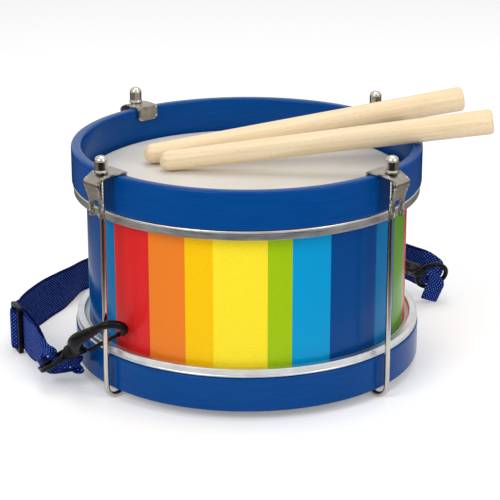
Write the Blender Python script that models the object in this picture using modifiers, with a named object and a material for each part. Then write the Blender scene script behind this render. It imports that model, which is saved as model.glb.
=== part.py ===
"""A small two-headed drum with a neck strap and two sticks, built piece by piece.

The frame has its origin at the middle of the lower head's outer face, +Z up through the drum,
and the front of the drum towards -Y. Lengths are metres, angles are degrees.
"""

import math

import bmesh
import bpy
from mathutils import Matrix, Vector

MM = 0.001

# Fits
GAP = 0.3 * MM
TURN_STEPS = 48

# Shell and its printed wrap
SHELL_OUTER_RADIUS = 92.0 * MM
SHELL_WALL = 4.6 * MM
SHELL_LENGTH = 87.4 * MM
SHELL_EDGE_CHAMFER = 2.2 * MM
WRAP_THICKNESS = 0.4 * MM
WRAP_EDGE_MARGIN = 3.2 * MM

# Heads
FILM = 0.3 * MM
FILM_BEND_RADIUS = 3.1 * MM
FILM_BEND_STEPS = 3
HEM_OVERLAP = 2.6 * MM
BATTER_DROP = 2.6 * MM
RESONANT_DROP = 2.7 * MM

# Aluminium rings that hold the hem of each head
COLLAR_CLEARANCE = 2.6 * MM
RING_WIDTH = 4.4 * MM
TOP_RING_HEIGHT = 5.6 * MM
BOTTOM_RING_HEIGHT = 4.6 * MM

# Hoops
HOOP_OVERHANG = 0.4 * MM
HOOP_WALL = 5.8 * MM
TOP_HOOP_HEIGHT = 21.4 * MM
BOTTOM_HOOP_HEIGHT = 19.4 * MM
HOOP_EDGE_CHAMFER = 0.8 * MM

# Tension rods, and where they stand round the drum
ROD_ANGLES = {"front_left": 222.0, "front_right": -42.0, "back_right": 42.0, "back_left": 130.5}
ROD_RADIUS = 1.5 * MM
ROD_STAND_OFF = 4.5 * MM
ROD_LEG_CLEARANCE = 2.7 * MM
ROD_BEND_STEPS = 8
ROD_BEND_CLEARANCE = 2.5 * MM
ROD_INNER_LEG = 6.0 * MM
ROD_THREAD_REACH = 7.0 * MM

# Sheet-metal claws
CLAW_SHEET = 1.0 * MM
CLAW_WIDTH = 14.1 * MM
CLAW_BEND_WIDTH = 12.6 * MM
CLAW_FLAP_WIDTH = 12.0 * MM
CLAW_TONGUE_DROP = 8.5 * MM
CLAW_BEND_SIZE = 1.1 * MM
CLAW_PLATE_REACH = 4.0 * MM
CLAW_FLAP_DROP = 13.5 * MM
CLAW_PRONG_LENGTH = 10.3 * MM
CLAW_PRONG_GAP = 3.6 * MM

# Cap nuts
NUT_RADIUS = 3.55 * MM
NUT_LENGTH = 9.5 * MM
NUT_DOME = 2.4 * MM
NUT_BORE_DEPTH = 7.4 * MM
NUT_STEPS = 16

# Sticks: where each one's tip rests on the batter head, and the way it points
STICK_LENGTH = 191.0 * MM
STICK_TIP_RADIUS = 5.8 * MM
STICK_BUTT_RADIUS = 7.15 * MM
STICK_ROUNDING = 2.4 * MM
STICK_STEPS = 32
STICKS = {
    "back": (Vector((-54.1 * MM, 17.0 * MM)), 8.6),
    "front": (Vector((-44.3 * MM, 2.4 * MM)), -3.7),
}

# Snap hooks of the strap
HOOK_LIMB_RADIUS = 2.4 * MM
HOOK_BARREL_RADIUS = 4.4 * MM
HOOK_BARREL_LENGTH = 7.0 * MM
HOOK_BODY_OFFSET = 7.5 * MM
HOOK_NOSE_CENTRE = 35.5 * MM
HOOK_NOSE_STEPS = 8
GATE_RADIUS = 1.5 * MM
GATE_OFFSET = 7.0 * MM
GATE_START = 9.5 * MM
EYE_WIRE_RADIUS = 1.5 * MM
EYE_HALF_LENGTH = 8.5 * MM
EYE_HALF_WIDTH = 9.5 * MM
EYE_STEM_RADIUS = 1.5 * MM
EYE_STEM_DEPTH = 4.0 * MM
EYE_TO_BARREL = 11.5 * MM

# Each hook: the rod it hangs on, the middle of its eye and a point on its axis, both measured
# from that rod, and the two directions in which the hook's limbs and the eye's width lie
HOOKS = {
    "left": {
        "rod": "front_left",
        "eye": Vector((-30.2, 18.8, -6.6)) * MM,
        "aim": Vector((0.06, 0.12, 17.1)) * MM,
        "limbs": Vector((-0.690, -0.535, 0.487)),
        "eye_width": Vector((0.424, 0.888, 0.176)),
    },
    "right": {
        "rod": "back_right",
        "eye": Vector((39.0, 14.3, -5.0)) * MM,
        "aim": Vector((1.24, -3.12, 14.3)) * MM,
        "limbs": Vector((-0.349, 0.937, 0.0)),
        "eye_width": Vector((0.515, -0.259, 0.817)),
    },
}

# Strap webbing and its slider
WEBBING_WIDTH = 24.0 * MM
WEBBING_THICKNESS = 1.5 * MM
GATHERED_WIDTH = 12.5 * MM
TIGHT_WIDTH = 11.5 * MM
EYE_FILL_WIDTH = 14.2 * MM
WEBBING_SAMPLES = 280
FLAT_AT_LEFT_EYE = Vector((-0.148, 0.989, 0.0))
FLAT_AT_RIGHT_EYE = Vector((0.87, 0.48, -0.1))
LEAN_OUT = Vector((-0.94, 0.34, 0.0))
LEAN_FORWARD = Vector((0.2, -0.98, 0.0))
STRAP_FOLD_START = 23.5 * MM
STRAP_FOLD_PITCH = 14.0 * MM
STRAP_FOLD_RUN = 60.0 * MM
STRAP_FOLD_BULGE = 17.0 * MM
SLIDER_FROM_ROD = Vector((-58.1, 72.5)) * MM
SLIDER_LIFT = 0.1 * MM
SLIDER_HEADING = Vector((0.39, -0.92, 0.0))
SLIDER_SLOT = 3.8 * MM
SLIDER_BAR = 2.4 * MM
SLIDER_END_BAR = 2.0 * MM
SLIDER_ROUNDING = 0.6 * MM
SLIDER_THICKNESS = 2.5 * MM
SLIDER_SLOT_CLEARANCE = 0.45 * MM

# Heights that follow from the stack of pieces
shell_bottom = FILM + GAP
shell_top = shell_bottom + SHELL_LENGTH
batter_face = shell_top + GAP + FILM
top_ring_top = batter_face - BATTER_DROP
top_ring_bottom = top_ring_top - TOP_RING_HEIGHT
top_hoop_bottom = top_ring_top + GAP
top_hoop_top = top_hoop_bottom + TOP_HOOP_HEIGHT
bottom_ring_bottom = RESONANT_DROP
bottom_ring_top = bottom_ring_bottom + BOTTOM_RING_HEIGHT
bottom_hoop_top = bottom_ring_bottom - GAP
bottom_hoop_bottom = bottom_hoop_top - BOTTOM_HOOP_HEIGHT
ring_inner_radius = SHELL_OUTER_RADIUS + GAP + FILM + COLLAR_CLEARANCE
ring_outer_radius = ring_inner_radius + RING_WIDTH
hoop_outer_radius = ring_outer_radius + HOOP_OVERHANG
hoop_inner_radius = hoop_outer_radius - HOOP_WALL
rod_circle = hoop_outer_radius + ROD_STAND_OFF
rod_bend_radius = (ROD_STAND_OFF + HOOP_WALL + ROD_LEG_CLEARANCE) / 2
rod_bend_height = bottom_hoop_bottom + ROD_BEND_CLEARANCE
floor = rod_bend_height - rod_bend_radius - ROD_RADIUS
claw_top = top_hoop_top + GAP + CLAW_SHEET
nut_base = claw_top + GAP
webbing_rest = floor + GAP + WEBBING_WIDTH / 2
slider_slot_height = WEBBING_WIDTH + 2 * SLIDER_SLOT_CLEARANCE
slider_height = slider_slot_height + 2 * SLIDER_END_BAR

for leftover in list(bpy.data.objects):
    bpy.data.objects.remove(leftover, do_unlink=True)

parts = bpy.data.collections.new("neck_strap_drum")
cutters = bpy.data.collections.new("cutters")
for collection in (parts, cutters):
    bpy.context.scene.collection.children.link(collection)


def linear(hex_colour):
    """An sRGB hex colour as linear RGBA."""
    channels = [int(hex_colour[i:i + 2], 16) / 255 for i in (1, 3, 5)]
    return tuple(c / 12.92 if c <= 0.04045 else ((c + 0.055) / 1.055) ** 2.4 for c in channels) + (1.0,)


def finish_of(name, hex_colour, roughness, metallic=0.0):
    """A Principled material with one colour."""
    material = bpy.data.materials.new(name)
    material.use_nodes = True
    shader = material.node_tree.nodes["Principled BSDF"]
    shader.inputs["Base Color"].default_value = linear(hex_colour)
    shader.inputs["Roughness"].default_value = roughness
    shader.inputs["Metallic"].default_value = metallic
    return material


birch = finish_of("shell_birch", "#C9A877", 0.6)
print_film = finish_of("striped_print", "#F2C530", 0.3)
head_film = finish_of("head_film", "#DAD6CD", 0.45)
aluminium = finish_of("rolled_aluminium", "#C8CACD", 0.35, 1.0)
blue_lacquer = finish_of("blue_lacquer", "#004586", 0.25)
nickel_wire = finish_of("nickel_wire", "#C9C6C0", 0.18, 1.0)
nickel_sheet = finish_of("nickel_sheet", "#BDBBB6", 0.2, 1.0)
beech = finish_of("beech", "#EBCFA3", 0.55)
black_nylon = finish_of("black_nylon", "#15171A", 0.35)
blue_webbing = finish_of("blue_webbing", "#152C86", 0.8)


def keep(thing, material, folder=parts, smooth=True):
    """Put an object in its collection with its material, and shade it."""
    for old in list(thing.users_collection):
        old.objects.unlink(thing)
    folder.objects.link(thing)
    thing.data.materials.clear()
    thing.data.materials.append(material)
    if thing.type == "MESH" and smooth:
        thing.data.shade_smooth()
    if folder is cutters:
        thing.hide_render = True
        thing.display_type = "WIRE"
    return thing


def mesh_object(name, build_mesh):
    """An object from a bmesh."""
    mesh = bpy.data.meshes.new(name)
    build_mesh.to_mesh(mesh)
    build_mesh.free()
    return bpy.data.objects.new(name, mesh)


def turned(name, profile, material, steps=TURN_STEPS, closed=True, folder=parts):
    """A turned solid: (radius, height) points that run down the outer side."""
    build_mesh = bmesh.new()
    corners = [build_mesh.verts.new((radius, 0.0, height)) for radius, height in profile]
    for first, second in zip(corners, corners[1:]):
        build_mesh.edges.new((first, second))
    if closed:
        build_mesh.edges.new((corners[-1], corners[0]))
    solid = mesh_object(name, build_mesh)
    screw = solid.modifiers.new("turn", "SCREW")
    screw.steps = steps
    screw.render_steps = steps
    screw.use_merge_vertices = True
    screw.merge_threshold = 0.00001
    screw.use_normal_calculate = False
    return keep(solid, material, folder)


def wire(name, points, radius, material, closed=False, folder=parts):
    """A round wire along points; radius is one number, or one for each point."""
    radii = radius if isinstance(radius, list) else [radius] * len(points)
    curve = bpy.data.curves.new(name, "CURVE")
    curve.dimensions = "3D"
    curve.bevel_depth = 1.0
    curve.bevel_resolution = 2
    curve.use_fill_caps = True
    spline = curve.splines.new("POLY")
    spline.points.add(len(points) - 1)
    for knot, place, size in zip(spline.points, points, radii):
        knot.co = (*place, 1.0)
        knot.radius = size
    spline.use_cyclic_u = closed
    return keep(bpy.data.objects.new(name, curve), material, folder)


def as_mesh(thing):
    """Replace a curve or a modified object by its welded mesh."""
    depsgraph = bpy.context.evaluated_depsgraph_get()
    evaluated = thing.evaluated_get(depsgraph)
    mesh = bpy.data.meshes.new_from_object(evaluated, depsgraph=depsgraph)
    build_mesh = bmesh.new()
    build_mesh.from_mesh(mesh)
    bmesh.ops.remove_doubles(build_mesh, verts=build_mesh.verts, dist=0.000001)
    build_mesh.to_mesh(mesh)
    build_mesh.free()
    name = thing.name
    material = thing.data.materials[0]
    folder = thing.users_collection[0]
    place = thing.matrix_world.copy()
    bpy.data.objects.remove(thing, do_unlink=True)
    solid = keep(bpy.data.objects.new(name, mesh), material, folder)
    solid.matrix_world = place
    return solid


def rod_shape(name, radius, start, end, material, steps=12, folder=cutters):
    """A straight cylinder from start to end."""
    run = end - start
    build_mesh = bmesh.new()
    bmesh.ops.create_cone(
        build_mesh, cap_ends=True, segments=steps, radius1=radius, radius2=radius, depth=run.length
    )
    solid = keep(mesh_object(name, build_mesh), material, folder)
    solid.matrix_world = Matrix.Translation((start + end) / 2) @ run.to_track_quat("Z", "Y").to_matrix().to_4x4()
    return solid


def box_shape(name, size, place, material, folder=cutters):
    """A box of a size, placed by a matrix."""
    build_mesh = bmesh.new()
    bmesh.ops.create_cube(build_mesh, size=1.0)
    bmesh.ops.scale(build_mesh, vec=size, verts=build_mesh.verts)
    solid = keep(mesh_object(name, build_mesh), material, folder, smooth=False)
    solid.matrix_world = place
    return solid


def combine(target, tool, operation):
    """An exact Boolean of one solid with another."""
    modifier = target.modifiers.new(operation.lower(), "BOOLEAN")
    modifier.operation = operation
    modifier.solver = "EXACT"
    modifier.object = tool


def arc(centre, radius, start, end, steps):
    """Points on an arc, from one angle to another."""
    angles = [math.radians(start + (end - start) * i / steps) for i in range(steps + 1)]
    return [(centre[0] + radius * math.cos(a), centre[1] + radius * math.sin(a)) for a in angles]


def spin(degrees):
    """A turn about the drum's axis."""
    return Matrix.Rotation(math.radians(degrees), 4, "Z")


def make_shell():
    """The wooden shell with its bearing edges, and the printed wrap round it."""
    wrap_inner = SHELL_OUTER_RADIUS - WRAP_THICKNESS
    outer = wrap_inner - GAP
    inner = SHELL_OUTER_RADIUS - SHELL_WALL
    edge = SHELL_EDGE_CHAMFER
    turned("shell", [
        (outer - edge, shell_top),
        (outer, shell_top - edge),
        (outer, shell_bottom + edge),
        (outer - edge, shell_bottom),
        (inner, shell_bottom),
        (inner, shell_top),
    ], birch)
    turned("striped_wrap", [
        (SHELL_OUTER_RADIUS, shell_top - WRAP_EDGE_MARGIN),
        (SHELL_OUTER_RADIUS, shell_bottom + WRAP_EDGE_MARGIN),
        (wrap_inner, shell_bottom + WRAP_EDGE_MARGIN),
        (wrap_inner, shell_top - WRAP_EDGE_MARGIN),
    ], print_film)


def head_profile(hem_drop):
    """A head's section: flat film, the bend over the shell's edge, the collar and the hem."""
    outer = SHELL_OUTER_RADIUS + GAP + FILM
    flat = outer - FILM_BEND_RADIUS
    hem_end = ring_inner_radius + HEM_OVERLAP
    bend = (flat, -FILM_BEND_RADIUS)
    upper = arc(bend, FILM_BEND_RADIUS, 90, 0, FILM_BEND_STEPS)
    lower = arc(bend, FILM_BEND_RADIUS - FILM, 0, 90, FILM_BEND_STEPS)
    hem_top = -hem_drop + FILM / 2
    hem = [(outer, hem_top), (hem_end, hem_top), (hem_end, hem_top - FILM), (outer - FILM, hem_top - FILM)]
    return [(0.0, 0.0)] + upper + hem + lower + [(0.0, -FILM)]


def make_heads():
    """The batter head on top and the resonant head below, each over its end of the shell."""
    batter = head_profile(BATTER_DROP + TOP_RING_HEIGHT / 2)
    turned("batter_head", [(r, batter_face + z) for r, z in batter], head_film, closed=False)
    resonant = head_profile(RESONANT_DROP + BOTTOM_RING_HEIGHT / 2)
    turned("resonant_head", [(r, -z) for r, z in reversed(resonant)], head_film, closed=False)


def make_ring(name, bottom, top):
    """An aluminium ring: a channel, open towards the shell, that grips the hem of a head."""
    inner = ring_inner_radius
    slot_end = inner + HEM_OVERLAP + GAP
    middle = (bottom + top) / 2
    slot = FILM / 2 + GAP
    turned(name, [
        (inner, top),
        (ring_outer_radius, top),
        (ring_outer_radius, bottom),
        (inner, bottom),
        (inner, middle - slot),
        (slot_end, middle - slot),
        (slot_end, middle + slot),
        (inner, middle + slot),
    ], aluminium)


def make_hoop(name, bottom, top):
    """A lacquered hoop with softened edges."""
    edge = HOOP_EDGE_CHAMFER
    turned(name, [
        (hoop_inner_radius + edge, top),
        (hoop_outer_radius - edge, top),
        (hoop_outer_radius, top - edge),
        (hoop_outer_radius, bottom + edge),
        (hoop_outer_radius - edge, bottom),
        (hoop_inner_radius + edge, bottom),
        (hoop_inner_radius, bottom + edge),
        (hoop_inner_radius, top - edge),
    ], blue_lacquer)


def rod_place(corner):
    """A rod's middle line, as a point at height 0."""
    return spin(ROD_ANGLES[corner]) @ Vector((rod_circle, 0.0, 0.0))


def make_rod(corner, angle):
    """A tension rod: straight shank, hooked under the bottom hoop, threaded into its nut."""
    bend = (rod_circle - rod_bend_radius, rod_bend_height)
    outline = [(rod_circle, nut_base + ROD_THREAD_REACH - GAP)]
    outline += arc(bend, rod_bend_radius, 0, -180, ROD_BEND_STEPS)
    outline += [(rod_circle - 2 * rod_bend_radius, rod_bend_height + ROD_INNER_LEG)]
    points = [Vector((radius, 0.0, height)) for radius, height in outline]
    rod = wire(f"tension_rod_{corner}", points, ROD_RADIUS, nickel_wire)
    rod.matrix_world = spin(angle)


def claw_stations():
    """The claw's outer face, from the tongue inside the hoop to the fork: radius, height, width."""
    facet_reach = hoop_inner_radius * math.cos(math.pi / TURN_STEPS)
    tongue = math.sqrt(facet_reach ** 2 - (CLAW_WIDTH / 2) ** 2) - GAP - CLAW_SHEET
    flap = rod_circle + CLAW_PLATE_REACH
    lip = 3.6 * MM
    fork_top = claw_top - CLAW_FLAP_DROP
    return [
        (tongue, claw_top - CLAW_TONGUE_DROP, CLAW_WIDTH * 0.72),
        (tongue, claw_top - CLAW_TONGUE_DROP + 1.6 * MM, CLAW_WIDTH),
        (tongue, claw_top - CLAW_BEND_SIZE, CLAW_WIDTH),
        (tongue + CLAW_BEND_SIZE, claw_top, CLAW_WIDTH),
        (rod_circle - 0.6 * MM, claw_top, CLAW_WIDTH),
        (flap - 1.2 * MM, claw_top - 0.8 * MM, CLAW_BEND_WIDTH),
        (flap + lip - 2.4 * MM, claw_top - 2.0 * MM, CLAW_BEND_WIDTH),
        (flap + lip - 0.4 * MM, claw_top - 3.5 * MM, CLAW_BEND_WIDTH),
        (flap + lip, claw_top - 5.0 * MM, CLAW_BEND_WIDTH),
        (flap + lip - 1.0 * MM, claw_top - 8.2 * MM, CLAW_FLAP_WIDTH),
        (flap + 0.8 * MM, fork_top, CLAW_FLAP_WIDTH),
        (flap + 0.3 * MM, fork_top - 2.2 * MM, CLAW_FLAP_WIDTH),
        (flap + 0.3 * MM, fork_top - CLAW_PRONG_LENGTH, CLAW_FLAP_WIDTH),
    ]


def make_claw(corner, angle):
    """A claw: sheet metal bent over the hoop, with a hole for the rod and a two-pronged fork."""
    stations = claw_stations()
    fork_row = 10
    build_mesh = bmesh.new()
    rows = []
    for radius, height, width in stations:
        across = (-width / 2, -CLAW_PRONG_GAP / 2, CLAW_PRONG_GAP / 2, width / 2)
        rows.append([build_mesh.verts.new((radius, side, height)) for side in across])
    for number, (upper, lower) in enumerate(zip(rows, rows[1:])):
        for column in range(3):
            if number >= fork_row and column == 1:
                continue
            build_mesh.faces.new((upper[column], lower[column], lower[column + 1], upper[column + 1]))
    claw = keep(mesh_object(f"claw_{corner}", build_mesh), nickel_sheet, smooth=False)
    claw.matrix_world = spin(angle)
    sheet = claw.modifiers.new("sheet", "SOLIDIFY")
    sheet.thickness = CLAW_SHEET
    sheet.offset = -1.0
    sheet.use_even_offset = True
    axis = rod_place(corner)
    reach = Vector((0.0, 0.0, 4 * CLAW_SHEET))
    hole_middle = Vector((axis.x, axis.y, claw_top - CLAW_SHEET / 2))
    hole = rod_shape(
        f"hole_{corner}", ROD_RADIUS + GAP, hole_middle - reach, hole_middle + reach, nickel_sheet
    )
    combine(claw, hole, "DIFFERENCE")


def make_nut(corner):
    """A domed cap nut, with the blind bore that takes the rod."""
    bore = ROD_RADIUS + GAP
    dome = arc((0.0, NUT_LENGTH - NUT_DOME), 1.0, 90, 0, 4)
    outside = [(r * NUT_RADIUS, NUT_LENGTH - NUT_DOME + (z - NUT_LENGTH + NUT_DOME) * NUT_DOME) for r, z in dome]
    outside[0] = (0.0, outside[0][1])
    profile = outside + [(NUT_RADIUS, 0.0), (bore, 0.0), (bore, NUT_BORE_DEPTH), (0.0, NUT_BORE_DEPTH)]
    nut = turned(f"cap_nut_{corner}", profile, nickel_wire, steps=NUT_STEPS, closed=False)
    place = rod_place(corner)
    nut.location = (place.x, place.y, nut_base)


def stick_pose(tip, heading):
    """Where a stick's tip and its lift bring it to rest, on the batter head and the top hoop."""
    way = Vector((math.cos(math.radians(heading)), math.sin(math.radians(heading))))
    edge_radius = hoop_inner_radius + HOOP_EDGE_CHAMFER
    along = tip.dot(way)
    run = -along + math.sqrt(along * along - tip.length_squared + edge_radius ** 2)
    radius_there = STICK_TIP_RADIUS + (STICK_BUTT_RADIUS - STICK_TIP_RADIUS) * run / STICK_LENGTH
    tip_height = batter_face + GAP + STICK_TIP_RADIUS
    rise = top_hoop_top - tip_height
    lift = math.atan2(rise, run) + math.asin((radius_there + GAP) / math.hypot(rise, run))
    return tip_height, lift


def make_stick(name, tip, heading):
    """A tapered stick with rounded ends, turned along its own Z."""
    soft = STICK_ROUNDING
    profile = [
        (0.0, STICK_LENGTH - STICK_TIP_RADIUS),
        (STICK_BUTT_RADIUS - soft, STICK_LENGTH - STICK_TIP_RADIUS),
        (STICK_BUTT_RADIUS - 0.3 * soft, STICK_LENGTH - STICK_TIP_RADIUS - 0.3 * soft),
        (STICK_BUTT_RADIUS, STICK_LENGTH - STICK_TIP_RADIUS - soft),
        (STICK_TIP_RADIUS, 0.0),
        (STICK_TIP_RADIUS * 0.87, -STICK_TIP_RADIUS * 0.5),
        (STICK_TIP_RADIUS * 0.5, -STICK_TIP_RADIUS * 0.87),
        (0.0, -STICK_TIP_RADIUS),
    ]
    stick = turned(f"drumstick_{name}", profile, beech, steps=STICK_STEPS, closed=False)
    tip_height, lift = stick_pose(tip, heading)
    turn = spin(heading) @ Matrix.Rotation(math.pi / 2 - lift, 4, "Y")
    stick.matrix_world = Matrix.Translation((tip.x, tip.y, tip_height)) @ turn


def hook_frame(hook):
    """A hook's own frame: X along it from the barrel to the nose, Y across its limbs."""
    along = (hook["aim"] - hook["eye"]).normalized()
    limbs = (hook["limbs"] - along * hook["limbs"].dot(along)).normalized()
    width = (hook["eye_width"] - along * hook["eye_width"].dot(along)).normalized()
    origin = rod_place(hook["rod"]) + hook["eye"] + along * EYE_TO_BARREL

    def frame(second):
        third = along.cross(second)
        turn = Matrix((along, second, third)).transposed().to_4x4()
        return Matrix.Translation(origin) @ turn

    return frame(limbs), frame(width)


def make_hook(side, hook):
    """A snap hook: body with its barrel, sprung gate, and the swivel eye for the webbing."""
    body_frame, eye_frame = hook_frame(hook)
    nose_radius = HOOK_BODY_OFFSET
    nose = arc((HOOK_NOSE_CENTRE, 0.0), nose_radius, 90, -90, HOOK_NOSE_STEPS)
    outline = [
        (0.0, 0.0),
        (HOOK_BARREL_LENGTH, 0.0),
        (HOOK_BARREL_LENGTH + 1.5 * MM, 0.3 * HOOK_BODY_OFFSET),
        (HOOK_BARREL_LENGTH + 6.0 * MM, 0.85 * HOOK_BODY_OFFSET),
        (HOOK_BARREL_LENGTH + 9.5 * MM, HOOK_BODY_OFFSET),
    ] + nose
    barrel = HOOK_BARREL_RADIUS
    radii = [barrel, barrel, 0.85 * barrel] + [HOOK_LIMB_RADIUS] * (len(outline) - 3)
    points = [Vector((x, y, 0.0)) for x, y in outline]
    body = wire(f"{side}_hook_body", points, radii, black_nylon)
    body.matrix_world = body_frame
    bpy.context.view_layer.update()
    body = as_mesh(body)
    socket_depth = EYE_STEM_DEPTH + GAP
    start = body_frame @ Vector((-2.0 * MM, 0.0, 0.0))
    end = body_frame @ Vector((socket_depth, 0.0, 0.0))
    socket = rod_shape(f"socket_{side}", EYE_STEM_RADIUS + GAP, start, end, black_nylon)
    combine(body, socket, "DIFFERENCE")

    gate_end = HOOK_NOSE_CENTRE - HOOK_LIMB_RADIUS / 4 - GAP
    gate = wire(f"{side}_hook_gate", [
        Vector((0.0, 0.0, 0.0)),
        Vector((gate_end - GATE_START, 0.0, 0.0)),
    ], GATE_RADIUS, black_nylon)
    gate.matrix_world = body_frame @ Matrix.Translation((GATE_START, -GATE_OFFSET, 0.0))

    ring_points = []
    ring_steps = 16
    for step in range(ring_steps):
        turn = math.tau * step / ring_steps
        along = -EYE_TO_BARREL + EYE_HALF_LENGTH * math.cos(turn)
        ring_points.append(Vector((along, EYE_HALF_WIDTH * math.sin(turn), 0.0)))
    eye = wire(f"{side}_hook_eye", ring_points, EYE_WIRE_RADIUS, black_nylon, closed=True)
    eye.matrix_world = eye_frame
    bpy.context.view_layer.update()
    eye = as_mesh(eye)
    stem_start = eye_frame @ Vector((EYE_HALF_LENGTH - EYE_TO_BARREL, 0.0, 0.0))
    stem_end = eye_frame @ Vector((EYE_STEM_DEPTH, 0.0, 0.0))
    stem = rod_shape(f"stem_{side}", EYE_STEM_RADIUS, stem_start, stem_end, black_nylon)
    combine(eye, stem, "UNION")


def slider_frame():
    """The slider's own frame: X along the strap towards the left hook, Y outwards, Z up."""
    heading = SLIDER_HEADING.normalized()
    up = Vector((0.0, 0.0, 1.0))
    outward = heading.cross(up)
    turn = Matrix((heading, outward, -up)).transposed().to_4x4()
    centre = rod_place("front_left") + SLIDER_FROM_ROD.to_3d()
    centre.z = floor + SLIDER_LIFT + slider_height / 2
    return Matrix.Translation(centre) @ turn


def make_slider():
    """The three-bar slider, standing on its end, with two slots for the webbing."""
    frame = slider_frame()
    length = 3 * SLIDER_BAR + 2 * SLIDER_SLOT
    slider = box_shape("strap_slider", (length, SLIDER_THICKNESS, slider_height), frame, black_nylon, parts)
    rounding = slider.modifiers.new("rounding", "BEVEL")
    rounding.width = SLIDER_ROUNDING
    rounding.segments = 1
    for name, side in (("rear", -1), ("front", 1)):
        shift = side * (SLIDER_BAR + SLIDER_SLOT) / 2
        place = frame @ Matrix.Translation((shift, 0.0, 0.0))
        size = (SLIDER_SLOT, 4 * SLIDER_THICKNESS, slider_slot_height)
        slot = box_shape(f"slot_{name}", size, place, black_nylon)
        combine(slider, slot, "DIFFERENCE")


def folded_run(height):
    """The strap's hidden length behind the drum: three runs joined by two round folds."""
    places = []
    for run in range(3):
        side = 1 if run % 2 == 0 else -1
        depth = rod_circle + STRAP_FOLD_START + run * STRAP_FOLD_PITCH
        for share in (-1, 0, 1):
            places.append(Vector((side * share * STRAP_FOLD_RUN, depth, height)))
        if run == 2:
            break
        for out, back in ((0.82, 0.18), (1.0, 0.5), (0.82, 0.82)):
            x = side * (STRAP_FOLD_RUN + out * STRAP_FOLD_BULGE)
            places.append(Vector((x, depth + back * STRAP_FOLD_PITCH, height)))
    return places


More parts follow.
